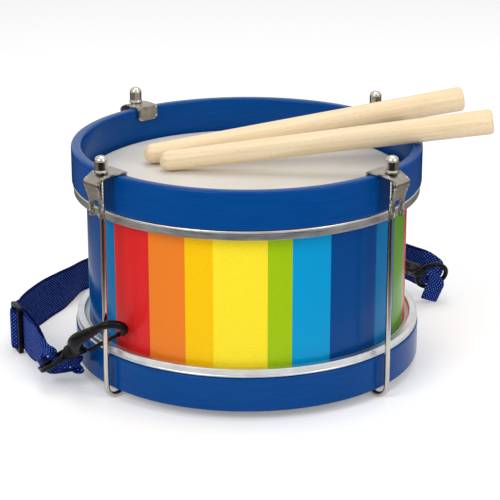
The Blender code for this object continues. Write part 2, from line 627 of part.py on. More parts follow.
def webbing_route():
    """The webbing's own points: place, the direction across it, and width.

    At a flatness of 0 the webbing stands on its edge, and at 1 it lies along the given direction.
    """
    frame = slider_frame()
    full = WEBBING_WIDTH
    gathered = GATHERED_WIDTH
    tight = TIGHT_WIDTH
    left_rod = rod_place("front_left")
    right_rod = rod_place("back_right")

    def standing(place, flat=0.0, width=full, lying=Vector((1.0, 0.0, 0.0))):
        across = (Vector((0.0, 0.0, 1.0)) * (1.0 - flat) + lying * flat).normalized()
        return place, across, width

    def at_slider(along, outward):
        return standing(frame @ Vector((along, outward, 0.0)))

    def at_left(x, y, height, flat=0.0, width=full, lying=FLAT_AT_LEFT_EYE):
        return standing(left_rod + Vector((x, y, height)) * MM, flat, width, lying)

    def at_right(x, y, height, flat=0.0, width=full):
        return standing(right_rod + Vector((x, y, height)) * MM, flat, width, FLAT_AT_RIGHT_EYE)

    bar = SLIDER_BAR
    slot = (SLIDER_BAR + SLIDER_SLOT) / 2
    face = SLIDER_THICKNESS / 2 + WEBBING_THICKNESS / 2
    rest = webbing_rest / MM
    return [
        at_slider(0.1 * bar, -face - 0.4 * MM),
        at_slider(0.8 * bar, -face - 1.6 * MM),
        at_slider(2.1 * bar, -face - 2.7 * MM),
        at_slider(3.7 * bar, -face - 3.0 * MM),
        at_left(-45.2, 55.0, -9.0),
        at_left(-41.3, 44.4, -10.6, 0.15, 22 * MM),
        at_left(-38.0, 35.4, -12.6, 0.5, 15 * MM),
        at_left(-35.5, 29.4, -14.0, 0.85, tight),
        at_left(-31.8, 26.1, -14.7, 1.0, gathered),
        at_left(-26.3, 24.7, -13.6, 1.0, gathered),
        at_left(-21.3, 23.9, -12.4, 1.0, gathered),
        at_left(-18.4, 22.9, -11.5, 1.0, tight),
        at_left(-17.2, 21.2, -10.1, 1.0, tight),
        at_left(-18.4, 19.5, -8.8, 1.0, tight),
        at_left(-21.8, 18.1, -8.3, 1.0, 13 * MM),
        at_left(-25.9, 18.0, -8.4, 1.0, gathered),
        at_left(-28.3, 18.4, -8.0, 1.0, EYE_FILL_WIDTH),
        at_left(-30.2, 18.8, -6.6, 1.0, EYE_FILL_WIDTH),
        at_left(-31.7, 19.1, -4.8, 1.0, EYE_FILL_WIDTH),
        at_left(-34.0, 20.5, -3.6, 1.0, tight),
        at_left(-37.4, 25.2, -4.5, 0.8, 10.5 * MM),
        at_left(-40.9, 33.8, -5.4, 0.32, 16.5 * MM),
        at_left(-44.5, 43.4, -5.7, 0.05, 23 * MM),
        at_left(-48.8, 53.4, -6.6),
        at_slider(3.7 * bar, -face - 0.3 * MM),
        at_slider(2.25 * bar, -face - 0.5 * MM),
        at_slider(slot + 0.5 * MM, -face + 0.1 * MM),
        at_slider(slot, 0.0),
        at_slider(slot - 0.7 * MM, 1.8 * MM),
        at_slider(0.55 * bar, face + 1.1 * MM),
        at_slider(-0.55 * bar, face + 1.1 * MM),
        at_slider(-slot + 0.7 * MM, 1.8 * MM),
        at_slider(-slot, 0.0),
        at_slider(-slot - 0.5 * MM, -face + 0.1 * MM),
        at_slider(-2.25 * bar, -face - 0.5 * MM),
        at_slider(-4.4 * bar, -face - 1.3 * MM),
        at_left(-59.3, 91.5, rest),
        at_left(-56.8, 101.0, rest - 0.1, 0.08, full, LEAN_OUT),
        at_left(-52.9, 111.3, rest - 0.3, 0.18, full, LEAN_OUT),
        at_left(-46.4, 127.8, rest - 0.3, 0.19, full, LEAN_OUT),
        at_left(-39.1, 141.1, rest, 0.12, full, LEAN_OUT),
        at_left(-33.2, 153.8, rest + 0.1, 0.1, full, LEAN_FORWARD),
        at_left(-25.9, 172.1, rest - 0.3, 0.27, full, LEAN_FORWARD),
        at_left(-10.3, 190.9, rest),
    ] + [standing(place) for place in folded_run(webbing_rest)] + [
        at_right(6.3, 71.1, rest + 1.0),
        at_right(18.3, 52.1, rest + 4.0),
        at_right(25.8, 39.1, -4.6),
        at_right(32.8, 30.6, -4.8, 0.1),
        at_right(37.4, 26.8, -4.6, 0.3, 21 * MM),
        at_right(41.2, 22.6, -4.0, 0.46, 16 * MM),
        at_right(41.3, 18.8, -3.4, 0.76, 10.5 * MM),
        at_right(40.4, 15.0, -5.0, 1.0, 9.3 * MM),
        at_right(41.6, 11.6, -8.6, 1.0, 12.0 * MM),
        at_right(40.2, 10.3, -12.2, 1.0, 13.0 * MM),
        at_right(38.6, 9.8, -16.0, 1.0, 13.0 * MM),
        at_right(37.1, 9.4, -19.6, 1.0, 12.5 * MM),
    ]


def smooth_samples(points, count):
    """Evenly numbered samples of a smooth curve through points of any dimension."""
    spans = len(points) - 1
    samples = []
    for number in range(count + 1):
        place = spans * number / count
        span = min(int(place), spans - 1)
        t = place - span
        corner = [points[min(max(span + k, 0), spans)] for k in (-1, 0, 1, 2)]
        before, start, end, after = corner
        samples.append([
            0.5 * (2 * b + (c - a) * t + (2 * a - 5 * b + 4 * c - d) * t * t
                   + (3 * b - a - 3 * c + d) * t * t * t)
            for a, b, c, d in zip(before, start, end, after)
        ])
    return samples


def make_webbing():
    """The strap's webbing: one flat band swept along its route."""
    rows = [[*place, *across, width] for place, across, width in webbing_route()]
    samples = smooth_samples(rows, WEBBING_SAMPLES)
    places = [Vector(sample[:3]) for sample in samples]
    build_mesh = bmesh.new()
    sections = []
    for number, sample in enumerate(samples):
        ahead = places[min(number + 1, len(places) - 1)]
        behind = places[max(number - 1, 0)]
        run = (ahead - behind).normalized()
        across = Vector(sample[3:6])
        across = (across - run * across.dot(run)).normalized() * sample[6] / 2
        thick = run.cross(across).normalized() * WEBBING_THICKNESS / 2
        place = places[number]
        corners = (place - across - thick, place + across - thick, place + across + thick, place - across + thick)
        sections.append([build_mesh.verts.new(corner) for corner in corners])
    for first, second in zip(sections, sections[1:]):
        for side in range(4):
            after = (side + 1) % 4
            build_mesh.faces.new((first[side], first[after], second[after], second[side]))
    build_mesh.faces.new(list(reversed(sections[0])))
    build_mesh.faces.new(sections[-1])
    bmesh.ops.recalc_face_normals(build_mesh, faces=build_mesh.faces)
    keep(mesh_object("strap_webbing", build_mesh), blue_webbing, smooth=False)


make_shell()
make_heads()
make_ring("top_head_ring", top_ring_bottom, top_ring_top)
make_ring("bottom_head_ring", bottom_ring_bottom, bottom_ring_top)
make_hoop("top_hoop", top_hoop_bottom, top_hoop_top)
make_hoop("bottom_hoop", bottom_hoop_bottom, bottom_hoop_top)
for rod_corner, rod_angle in ROD_ANGLES.items():
    make_rod(rod_corner, rod_angle)
    make_claw(rod_corner, rod_angle)
    make_nut(rod_corner)
for stick_name, (stick_tip, stick_heading) in STICKS.items():
    make_stick(stick_name, stick_tip, stick_heading)
for hook_side, hook_values in HOOKS.items():
    make_hook(hook_side, hook_values)
make_slider()
make_webbing()
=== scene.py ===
# %% [markdown]
# # A small drum with a neck strap and two sticks
#
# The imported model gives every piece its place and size. This lesson dresses it: each cell makes
# one piece or one finish, first as words about the real thing, then as Blender code.
# All lengths are metres, and MM turns the millimetres of a drawing into them.

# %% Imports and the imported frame
import math

import bmesh
import bpy
from mathutils import Matrix, Vector


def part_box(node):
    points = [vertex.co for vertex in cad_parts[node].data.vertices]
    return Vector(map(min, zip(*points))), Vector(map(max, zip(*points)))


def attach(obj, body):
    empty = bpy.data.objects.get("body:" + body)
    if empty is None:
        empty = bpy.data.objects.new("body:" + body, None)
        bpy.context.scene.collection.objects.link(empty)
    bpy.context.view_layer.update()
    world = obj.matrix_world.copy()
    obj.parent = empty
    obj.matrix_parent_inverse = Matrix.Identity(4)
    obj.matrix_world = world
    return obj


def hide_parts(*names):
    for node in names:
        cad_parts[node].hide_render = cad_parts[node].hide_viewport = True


MM = 0.001
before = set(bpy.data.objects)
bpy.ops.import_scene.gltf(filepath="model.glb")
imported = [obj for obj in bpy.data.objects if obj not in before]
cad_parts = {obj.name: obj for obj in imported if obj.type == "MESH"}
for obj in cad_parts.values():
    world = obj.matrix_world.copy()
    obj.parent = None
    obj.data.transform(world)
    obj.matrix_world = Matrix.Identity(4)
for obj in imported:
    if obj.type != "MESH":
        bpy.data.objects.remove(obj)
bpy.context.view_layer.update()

# %% [markdown]
# ## The sizes the pieces share
#
# A drum is a stack: film, ring and hoop sit one on the other at both ends of the shell, and four
# rods pull the two hoops together. The few radii and heights below come from the same stack as
# the solids, read from their boxes where that is possible.

# %% Radii and heights of the stack
GAP = 0.3 * MM
SHELL_RADIUS = 92.0 * MM
shell_low, shell_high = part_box("shell")
wrap_low, wrap_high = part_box("striped_wrap")
batter_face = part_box("batter_head")[1].z
ring_heights = {end: [corner.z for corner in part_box(f"{end}_head_ring")] for end in ("top", "bottom")}
hoop_heights = {end: [corner.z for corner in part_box(f"{end}_hoop")] for end in ("top", "bottom")}
RING_RADIUS = 99.6 * MM
RING_WIDTH = 4.4 * MM
HOOP_RADIUS = 100.0 * MM
HOOP_WALL = 5.8 * MM
ROD_CIRCLE = 104.5 * MM
ROD_RADIUS = 1.5 * MM
ROD_ANGLES = {"front_left": 222.0, "front_right": -42.0, "back_right": 42.0, "back_left": 130.5}
floor_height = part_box("tension_rod_front_left")[0].z
claw_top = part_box("claw_front_left")[1].z
nut_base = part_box("cap_nut_front_left")[0].z
print("floor at", round(floor_height / MM, 2), "mm, batter head at", round(batter_face / MM, 2), "mm")

# %% [markdown]
# ## The camera
#
# A photograph taken from some distance with a long lens shows little perspective. The ellipses of
# the two hoops fix how high the camera stands, and the way the lower hoop looks smaller than the
# upper one fixes how far away it is.

# %% A camera about a metre away
LENS = 133.9
SENSOR_WIDTH = 36.0
CAMERA_PLACE = Vector((0.0018, -1.0220, 0.3950))
CAMERA_AIM = Vector((0.0018, 0.0, 0.0413))
camera_data = bpy.data.cameras.new("studio_camera")
camera_data.lens = LENS
camera_data.sensor_width = SENSOR_WIDTH
camera_data.clip_start = 0.01
camera = bpy.data.objects.new("studio_camera", camera_data)
camera.location = CAMERA_PLACE
camera.rotation_euler = (CAMERA_AIM - CAMERA_PLACE).to_track_quat("-Z", "Y").to_euler()
bpy.context.scene.collection.objects.link(camera)
bpy.context.scene.camera = camera
print("camera looks down by", round(math.degrees(camera.rotation_euler.x) - 90, 2), "degrees")

# %% [markdown]
# ## Helpers for shapes
#
# Nearly every piece of a drum is either turned about an axis or bent from a bar. One helper
# revolves an outline, one carries a round section along a line, one softens sharp corners, and
# two draw the lines that the others need: an arc, and a smooth line through a few points.

# %% An arc
def arc(middle, radius, start, end, steps):
    """Points on an arc round a middle, from one angle to another in degrees."""
    turns = [math.radians(start + (end - start) * step / steps) for step in range(steps + 1)]
    return [(middle[0] + radius * math.cos(turn), middle[1] + radius * math.sin(turn)) for turn in turns]


print("a quarter of a circle ends at", [round(v, 3) for v in arc((0.0, 0.0), 1.0, 0, 90, 8)[-1]])

# %% A smooth line through points
def smooth_line(points, count):
    """A smooth line that passes through points of any dimension, with count + 1 samples."""
    spans = len(points) - 1
    samples = []
    for number in range(count + 1):
        place = spans * number / count
        span = min(int(place), spans - 1)
        t = place - span
        before, start, end, after = [points[min(max(span + k, 0), spans)] for k in (-1, 0, 1, 2)]
        samples.append([
            0.5 * (2 * b + (c - a) * t + (2 * a - 5 * b + 4 * c - d) * t * t
                   + (3 * b - a - 3 * c + d) * t * t * t)
            for a, b, c, d in zip(before, start, end, after)
        ])
    return samples


hill = smooth_line([[0.0], [1.0], [0.0]], 4)
print("a smooth hill through 0, 1 and 0:", [round(height, 2) for (height,) in hill])


# %% Softened corners
def softened(corners, radius, steps=4, closed=True):
    """An outline whose corners are rounded by about radius; radius may be one number per corner."""
    count = len(corners)
    radii = radius if isinstance(radius, list) else [radius] * count
    outline = []
    for number, corner in enumerate(corners):
        here = Vector(corner)
        if not closed and number in (0, count - 1):
            outline.append(tuple(here))
            continue
        to_before = Vector(corners[number - 1]) - here
        to_after = Vector(corners[(number + 1) % count]) - here
        reach = min(radii[number], 0.49 * to_before.length, 0.49 * to_after.length)
        if reach < 1e-7:
            outline.append(tuple(here))
            continue
        start = here + to_before.normalized() * reach
        end = here + to_after.normalized() * reach
        for step in range(steps + 1):
            t = step / steps
            outline.append(tuple(start * (1 - t) ** 2 + here * 2 * t * (1 - t) + end * t ** 2))
    return outline


print("points of a softened square:", len(softened([(0, 0), (1, 0), (1, 1), (0, 1)], 0.2)))


# %% A turned piece
def turned(name, outline, segments=256, closed=True):
    """A mesh turned about Z from (radius, height) points; points on the axis become one vertex."""
    build = bmesh.new()
    rings = []
    for radius, height in outline:
        if radius < 1e-6:
            rings.append([build.verts.new((0.0, 0.0, height))] * segments)
            continue
        ring = []
        for step in range(segments):
            turn = math.tau * step / segments
            ring.append(build.verts.new((radius * math.cos(turn), radius * math.sin(turn), height)))
        rings.append(ring)
    pairs = list(zip(rings, rings[1:]))
    if closed:
        pairs.append((rings[-1], rings[0]))
    for upper, lower in pairs:
        for step in range(segments):
            after = (step + 1) % segments
            corners = [upper[step], lower[step], lower[after], upper[after]]
            face = [v for number, v in enumerate(corners) if v not in corners[:number]]
            if len(face) > 2:
                build.faces.new(face)
    bmesh.ops.recalc_face_normals(build, faces=build.faces)
    return finished_mesh(name, build)


def finished_mesh(name, build, crease=32.0):
    """The object of a bmesh, smooth except across creases sharper than crease degrees."""
    mesh = bpy.data.meshes.new(name)
    build.to_mesh(mesh)
    build.free()
    mesh.shade_smooth()
    mesh.set_sharp_from_angle(angle=math.radians(crease))
    made = bpy.data.objects.new(name, mesh)
    bpy.context.scene.collection.objects.link(made)
    return made


# %% A bar along a line
def bar(name, points, radii, sides=20, flatten=1.0, first_side=(0.0, 0.0, 1.0), closed=False):
    """A bar of round section along points; flatten squeezes it across its first side."""
    build = bmesh.new()
    side = Vector(first_side)
    rings = []
    last = len(points) - 1
    for number, point in enumerate(points):
        ahead = points[(number + 1) % len(points)] if closed else points[min(number + 1, last)]
        behind = points[number - 1] if closed else points[max(number - 1, 0)]
        run = (ahead - behind).normalized()
        side = (side - run * side.dot(run)).normalized()
        other = run.cross(side)
        ring = []
        for step in range(sides):
            turn = math.tau * step / sides
            offset = side * (math.cos(turn) * flatten) + other * math.sin(turn)
            ring.append(build.verts.new(point + offset * radii[number]))
        rings.append(ring)
    pairs = list(zip(rings, rings[1:]))
    if closed:
        pairs.append((rings[-1], rings[0]))
    else:
        build.faces.new(reversed(rings[0]))
        build.faces.new(rings[-1])
    for first, second in pairs:
        for step in range(sides):
            after = (step + 1) % sides
            build.faces.new((first[step], first[after], second[after], second[step]))
    bmesh.ops.recalc_face_normals(build, faces=build.faces)
    return finished_mesh(name, build)


def domed(points, radii, start=True, end=True, steps=5):
    """The same line with rounded ends, which stay inside its length."""
    points = list(points)
    radii = list(radii)
    for wanted, at, towards in ((start, 0, 1), (end, -1, -2)):
        if not wanted:
            continue
        tip = points[at]
        radius = radii[at]
        inward = (points[towards] - tip).normalized()
        extra = []
        for step in range(1, steps + 1):
            turn = math.radians(90 * step / (steps + 0.6))
            extra.append((tip + inward * radius * (1 - math.sin(turn)), radius * math.cos(turn)))
        points[at] = tip + inward * radius
        if at == 0:
            points = [p for p, r in reversed(extra)] + points
            radii = [r for p, r in reversed(extra)] + radii
        else:
            points += [p for p, r in extra]
            radii += [r for p, r in extra]
    return points, radii


thin_line, thin_radii = domed([Vector((0.0, 0.0, 0.0)), Vector((0.0, 0.0, 1.0))], [0.1, 0.1])
print("a bar with round ends has", len(thin_line), "rings:", [round(radius, 3) for radius in thin_radii])


# %% One moulded piece out of several bars
def moulded(name, bars, voxel=0.40 * MM, smoothing=5):
    """Bars joined into one skin, with the soft inner corners that a mould leaves."""
    build = bmesh.new()
    for piece in bars:
        part = piece.data.copy()
        part.transform(piece.matrix_world)
        build.from_mesh(part)
        bpy.data.objects.remove(piece, do_unlink=True)
    made = finished_mesh(name, build)
    remesh = made.modifiers.new("one_skin", "REMESH")
    remesh.mode = "VOXEL"
    remesh.voxel_size = voxel
    soften = made.modifiers.new("soft_corners", "SMOOTH")
    soften.factor = 0.5
    soften.iterations = smoothing
    depsgraph = bpy.context.evaluated_depsgraph_get()
    mesh = bpy.data.meshes.new_from_object(made.evaluated_get(depsgraph), depsgraph=depsgraph)
    made.modifiers.clear()
    made.data = mesh
    mesh.shade_smooth()
    return made


# %% [markdown]
# ## Helpers for finishes
#
# Colours are written as the sRGB hex values that a paint chart would give, and one function turns
# them into the linear values that Blender's shaders want. Another adds any node with its settings
# and links, so that a material reads as a short list.

# %% Colours, nodes and materials
def linear(hex_colour):
    """An sRGB hex colour as linear RGBA."""
    channels = [int(hex_colour[i:i + 2], 16) / 255 for i in (1, 3, 5)]
    return tuple(c / 12.92 if c <= 0.04045 else ((c + 0.055) / 1.055) ** 2.4 for c in channels) + (1.0,)


def add_node(material, kind, inputs=None, stops=(), **settings):
    """Adds a shader node of a kind. Settings are its own, and stops are a colour ramp's positions
    and hex colours. An input gets a value, a node's output, or a node, meaning its first output."""
    tree = material.node_tree
    made = tree.nodes.new("ShaderNode" + kind)
    for name, value in settings.items():
        setattr(made, name, value)
    for socket, value in (inputs or {}).items():
        if isinstance(value, bpy.types.Node):
            value = value.outputs[0]
        if isinstance(value, bpy.types.NodeSocket):
            tree.links.new(value, made.inputs[socket])
        else:
            made.inputs[socket].default_value = value
    if stops:
        marks = made.color_ramp.elements
        marks.remove(marks[-1])
        marks[0].position = stops[0][0]
        marks[0].color = linear(stops[0][1])
        for position, colour in stops[1:]:
            marks.new(position).color = linear(colour)
    return made


def new_material(name):
    """An empty node material."""
    made = bpy.data.materials.new(name)
    made.use_nodes = True
    made.node_tree.nodes.clear()
    return made


print("the sRGB grey #808080 is", round(linear("#808080")[0], 3), "in linear light")

# %% Dressing a piece
def dress(piece, material, body, slot, *nodes):
    """Gives a piece its finish, its body and the solids that it stands for."""
    piece.data.materials.clear()
    piece.data.materials.append(material)
    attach(piece, body)
    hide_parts(*nodes)
    return piece


# %% [markdown]
# ## Round coordinates
#
# Streaks on a rolled ring or in bent wood run round the drum, so their pattern needs the angle
# round the axis and the height instead of X and Y. This helper turns one into the other inside a
# material, and gives the angle as an arc length so that the pattern has a real size.

# %% The angle round the drum as a coordinate
def round_coordinates(material, radius):
    """A vector of arc length, height and distance from the axis, in metres."""
    place = add_node(material, "TexCoord").outputs["Object"]
    parts = add_node(material, "SeparateXYZ", {"Vector": place})
    angle = add_node(material, "Math", {0: parts.outputs["Y"], 1: parts.outputs["X"]},
                     operation="ARCTAN2")
    length = add_node(material, "Math", {0: angle, 1: radius}, operation="MULTIPLY")
    flat = add_node(material, "CombineXYZ", {"X": parts.outputs["X"], "Y": parts.outputs["Y"]})
    away = add_node(material, "VectorMath", {0: flat}, operation="LENGTH")
    joined = add_node(material, "CombineXYZ", {
        "X": length, "Y": parts.outputs["Z"], "Z": away.outputs["Value"],
    })
    return joined, angle


# %% [markdown]
# ## Webbing woven from polypropylene
#
# Neck straps are webbing woven from dyed polypropylene yarn, sold as 25 mm wide. The weave shows as
# staggered rows of small pale floats, about 1 mm apart, on a darker blue: where a warp yarn floats
# over the weft it catches the light, and between the floats the yarns shade each other. The band
# carries its own flat coordinates in millimetres, so the floats follow every bend. Two waves
# multiplied together give the staggered rows, and patches of wear of about 2 mm vary them.

# %% The webbing's finish
FLOAT_PITCH_ACROSS = 1.1
FLOAT_PITCH_ALONG = 1.0
WEAR_PATCH = 2.222
SELVEDGE = 1.3
SELVEDGE_BLUR = 0.4
WEBBING_WIDTH = 24.0 * MM


def woven_polypropylene():
    """Dark blue webbing with pale staggered floats and plain woven edges."""
    made = new_material("woven_polypropylene")
    flat = add_node(made, "UVMap", uv_map="weave")
    parts = add_node(made, "SeparateXYZ", {"Vector": flat})
    waves = []
    for axis, pitch in (("X", FLOAT_PITCH_ACROSS), ("Y", FLOAT_PITCH_ALONG)):
        scaled = add_node(made, "Math", {0: parts.outputs[axis], 1: math.pi / pitch},
                          operation="MULTIPLY")
        waves.append(add_node(made, "Math", {0: scaled}, operation="COSINE"))
    product = add_node(made, "Math", {0: waves[0], 1: waves[1]}, operation="MULTIPLY")
    floats = add_node(made, "Math", {0: product, 1: 0.0}, operation="MAXIMUM")
    worn = add_node(made, "TexNoise", {"Vector": flat, "Scale": 1 / WEAR_PATCH, "Detail": 4.0})
    bright = add_node(made, "MapRange", {
        "Value": worn, "From Min": 0.35, "From Max": 0.65, "To Min": -0.08, "To Max": 0.10,
    })
    lifted = add_node(made, "Math", {0: floats, 1: bright}, operation="ADD")
    across = add_node(made, "Math", {0: parts.outputs["X"]}, operation="ABSOLUTE")
    edge = WEBBING_WIDTH / MM / 2 - SELVEDGE
    inner = add_node(made, "MapRange", {
        "Value": across, "From Min": edge - SELVEDGE_BLUR, "From Max": edge + SELVEDGE_BLUR,
        "To Min": 1.0, "To Max": 0.25,
    })
    masked = add_node(made, "Math", {0: lifted, 1: inner}, operation="MULTIPLY")
    colour = add_node(made, "ValToRGB", {"Fac": masked}, stops=[
        (0.0, "#061A58"), (0.30, "#082472"), (0.55, "#143FA2"), (0.80, "#436DD2"), (1.0, "#96B2F8"),
    ])
    bump = add_node(made, "Bump", {"Height": floats, "Strength": 0.7, "Distance": 0.3 * MM})
    shader = add_node(made, "BsdfPrincipled", {
        "Base Color": colour, "Roughness": 0.7, "Normal": bump, "Specular IOR Level": 0.06, "IOR": 1.49,
    })
    add_node(made, "OutputMaterial", {"Surface": shader})
    return made


webbing_finish = woven_polypropylene()
print("weave pitch in mm:", FLOAT_PITCH_ACROSS, "by", FLOAT_PITCH_ALONG)

# %% [markdown]
# ## The strap's route
#
# The strap is one band: it starts on the slider's middle bar, runs forward to the left hook's eye,
# turns back through the slider, goes round the back of the drum and ends in the right hook's eye.
# What the camera doesn't see lies folded behind the drum. Each point gives the band's middle, the
# direction across the band and its width. The band mostly stands on its edge, and lies over
# towards another direction where it goes through an eye or leans against the drum.

# %% The slider's own directions
def on_rod_circle(corner):
    """Where a rod stands."""
    angle = math.radians(ROD_ANGLES[corner])
    return Vector((ROD_CIRCLE * math.cos(angle), ROD_CIRCLE * math.sin(angle), 0.0))


LEFT_ROD = on_rod_circle("front_left")
RIGHT_ROD = on_rod_circle("back_right")
SLIDER_HEADING = Vector((0.39, -0.92, 0.0)).normalized()
slider_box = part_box("strap_slider")
SLIDER_CENTRE = LEFT_ROD + Vector((-58.1, 72.5, 0.0)) * MM
SLIDER_CENTRE.z = (slider_box[0].z + slider_box[1].z) / 2
WEBBING_THICKNESS = 1.5 * MM
webbing_rest = floor_height + GAP + WEBBING_WIDTH / 2
FULL = WEBBING_WIDTH / MM


def slider_place():
    """The slider's frame: X along the strap towards the left hook, Y outwards."""
    up = Vector((0.0, 0.0, 1.0))
    outward = SLIDER_HEADING.cross(up)
    turn = Matrix((SLIDER_HEADING, outward, -up)).transposed().to_4x4()
    return Matrix.Translation(SLIDER_CENTRE) @ turn


print("the slider's middle in mm:", [round(v / MM, 1) for v in SLIDER_CENTRE])

# %% The band's points
FLAT_AT_LEFT_EYE = Vector((-0.148, 0.989, 0.0))
FLAT_AT_RIGHT_EYE = Vector((0.87, 0.48, -0.1))
LEAN_OUT = Vector((-0.94, 0.34, 0.0))
LEAN_FORWARD = Vector((0.2, -0.98, 0.0))


def standing(place, flat=0.0, width=FULL, lying=FLAT_AT_LEFT_EYE):
    """A point where the band stands on its edge (flat 0) or lies along a direction (flat 1)."""
    across = (Vector((0.0, 0.0, 1.0)) * (1.0 - flat) + lying * flat).normalized()
    return place, across, width


def at_slider(along, outward):
    """A point beside the slider, in millimetres."""
    return standing(slider_place() @ Vector((along * MM, outward * MM, 0.0)))


def by_left(x, y, height, flat=0.0, width=FULL, lying=FLAT_AT_LEFT_EYE):
    """A point measured from the rod that the left hook hangs on, in millimetres."""
    return standing(LEFT_ROD + Vector((x, y, height)) * MM, flat, width, lying)


def by_right(x, y, height, flat=0.0, width=FULL):
    """A point measured from the rod that the right hook hangs on, in millimetres."""
    return standing(RIGHT_ROD + Vector((x, y, height)) * MM, flat, width, FLAT_AT_RIGHT_EYE)


FOLD_DEPTHS = (128.0, 142.0, 156.0)
FOLD_RUN = 60.0
FOLD_BULGE = 17.0


def hidden_folds(height):
    """The strap's unseen length, laid in three runs behind the drum with round folds between."""
    points = []
    for run, depth in enumerate(FOLD_DEPTHS):
        side = 1 if run % 2 == 0 else -1
        points += [(side * share * FOLD_RUN, depth) for share in (-1, 0, 1)]
        if run == 2:
            break
        pitch = FOLD_DEPTHS[run + 1] - depth
        points += [
            (side * (FOLD_RUN + out * FOLD_BULGE), depth + back * pitch)
            for out, back in ((0.82, 0.18), (1.0, 0.5), (0.82, 0.82))
        ]
    return [standing(Vector((x, y, height)) * MM) for x, y in points]


rest = webbing_rest / MM
route = [
    at_slider(0.24, -2.4), at_slider(1.92, -3.6), at_slider(5.04, -4.7), at_slider(8.88, -5.0),
    by_left(-45.2, 55.0, -9.0), by_left(-41.3, 44.4, -10.6, 0.15, 22.0),
    by_left(-38.0, 35.4, -12.6, 0.5, 15.0), by_left(-35.5, 29.4, -14.0, 0.85, 11.5),
    by_left(-31.8, 26.1, -14.7, 1.0, 12.5), by_left(-26.3, 24.7, -13.6, 1.0, 12.5),
    by_left(-21.3, 23.9, -12.4, 1.0, 12.5), by_left(-18.4, 22.9, -11.5, 1.0, 11.5),
    by_left(-17.2, 21.2, -10.1, 1.0, 11.5), by_left(-18.4, 19.5, -8.8, 1.0, 11.5),
    by_left(-21.8, 18.1, -8.3, 1.0, 13.0), by_left(-25.9, 18.0, -8.4, 1.0, 12.5),
    by_left(-28.3, 18.4, -8.0, 1.0, 14.2), by_left(-30.2, 18.8, -6.6, 1.0, 14.2),
    by_left(-31.7, 19.1, -4.8, 1.0, 14.2), by_left(-34.0, 20.5, -3.6, 1.0, 11.5),
    by_left(-37.4, 25.2, -4.5, 0.8, 10.5), by_left(-40.9, 33.8, -5.4, 0.32, 16.5),
    by_left(-44.5, 43.4, -5.7, 0.05, 23.0), by_left(-48.8, 53.4, -6.6),
    at_slider(8.88, -2.3), at_slider(5.4, -2.5), at_slider(3.6, -1.9), at_slider(3.1, 0.0),
    at_slider(2.4, 1.8), at_slider(1.32, 3.1), at_slider(-1.32, 3.1), at_slider(-2.4, 1.8),
    at_slider(-3.1, 0.0), at_slider(-3.6, -1.9), at_slider(-5.4, -2.5), at_slider(-10.56, -3.3),
    by_left(-59.3, 91.5, rest),
    by_left(-56.8, 101.0, rest - 0.1, 0.08, FULL, LEAN_OUT),
    by_left(-52.9, 111.3, rest - 0.3, 0.18, FULL, LEAN_OUT),
    by_left(-46.4, 127.8, rest - 0.3, 0.19, FULL, LEAN_OUT),
    by_left(-39.1, 141.1, rest, 0.12, FULL, LEAN_OUT),
    by_left(-33.2, 153.8, rest + 0.1, 0.1, FULL, LEAN_FORWARD),
    by_left(-25.9, 172.1, rest - 0.3, 0.27, FULL, LEAN_FORWARD),
    by_left(-10.3, 190.9, rest),
] + hidden_folds(rest) + [
    by_right(6.3, 71.1, rest + 1.0), by_right(18.3, 52.1, rest + 4.0), by_right(25.8, 39.1, -4.6),
    by_right(32.8, 30.6, -4.8, 0.1), by_right(37.4, 26.8, -4.6, 0.3, 21.0),
    by_right(41.2, 22.6, -4.0, 0.46, 16.0), by_right(41.3, 18.8, -3.4, 0.76, 10.5),
    by_right(40.4, 15.0, -5.0, 1.0, 9.3), by_right(41.6, 11.6, -8.6, 1.0, 12.0),
    by_right(40.2, 10.3, -12.2, 1.0, 13.0), by_right(38.6, 9.8, -16.0, 1.0, 13.0),
    by_right(37.1, 9.4, -19.6, 1.0, 12.5),
]
print("points on the strap's route:", len(route))

# %% [markdown]
# ## The band itself
#
# Where the webbing squeezes through an eye it gathers and curls like a gutter, so each
# cross-section is a shallow arc. The weave's flat coordinates are the distance from the band's middle
# and the distance travelled along it.

# %% The woven band
SAMPLES_PER_SPAN = 8
BAND_COLUMNS = 10
CURL_LIMIT = 0.3
THIN_EDGE = 0.55


def band_section(width):
    """Points (across, out of plane) of the band's middle surface, in millimetres."""
    slack = max(0.0, (FULL / width) ** 2 - 1.0)
    depth = min(CURL_LIMIT, width * math.sqrt(0.375 * slack) * 0.5)
    points = []
    for column in range(BAND_COLUMNS + 1):
        share = 2 * column / BAND_COLUMNS - 1
        points.append((share * width / 2, depth * (0.4 - share * share)))
    return points


print("heights across a band squeezed to 12 mm:", [round(out, 2) for a, out in band_section(12.0)])


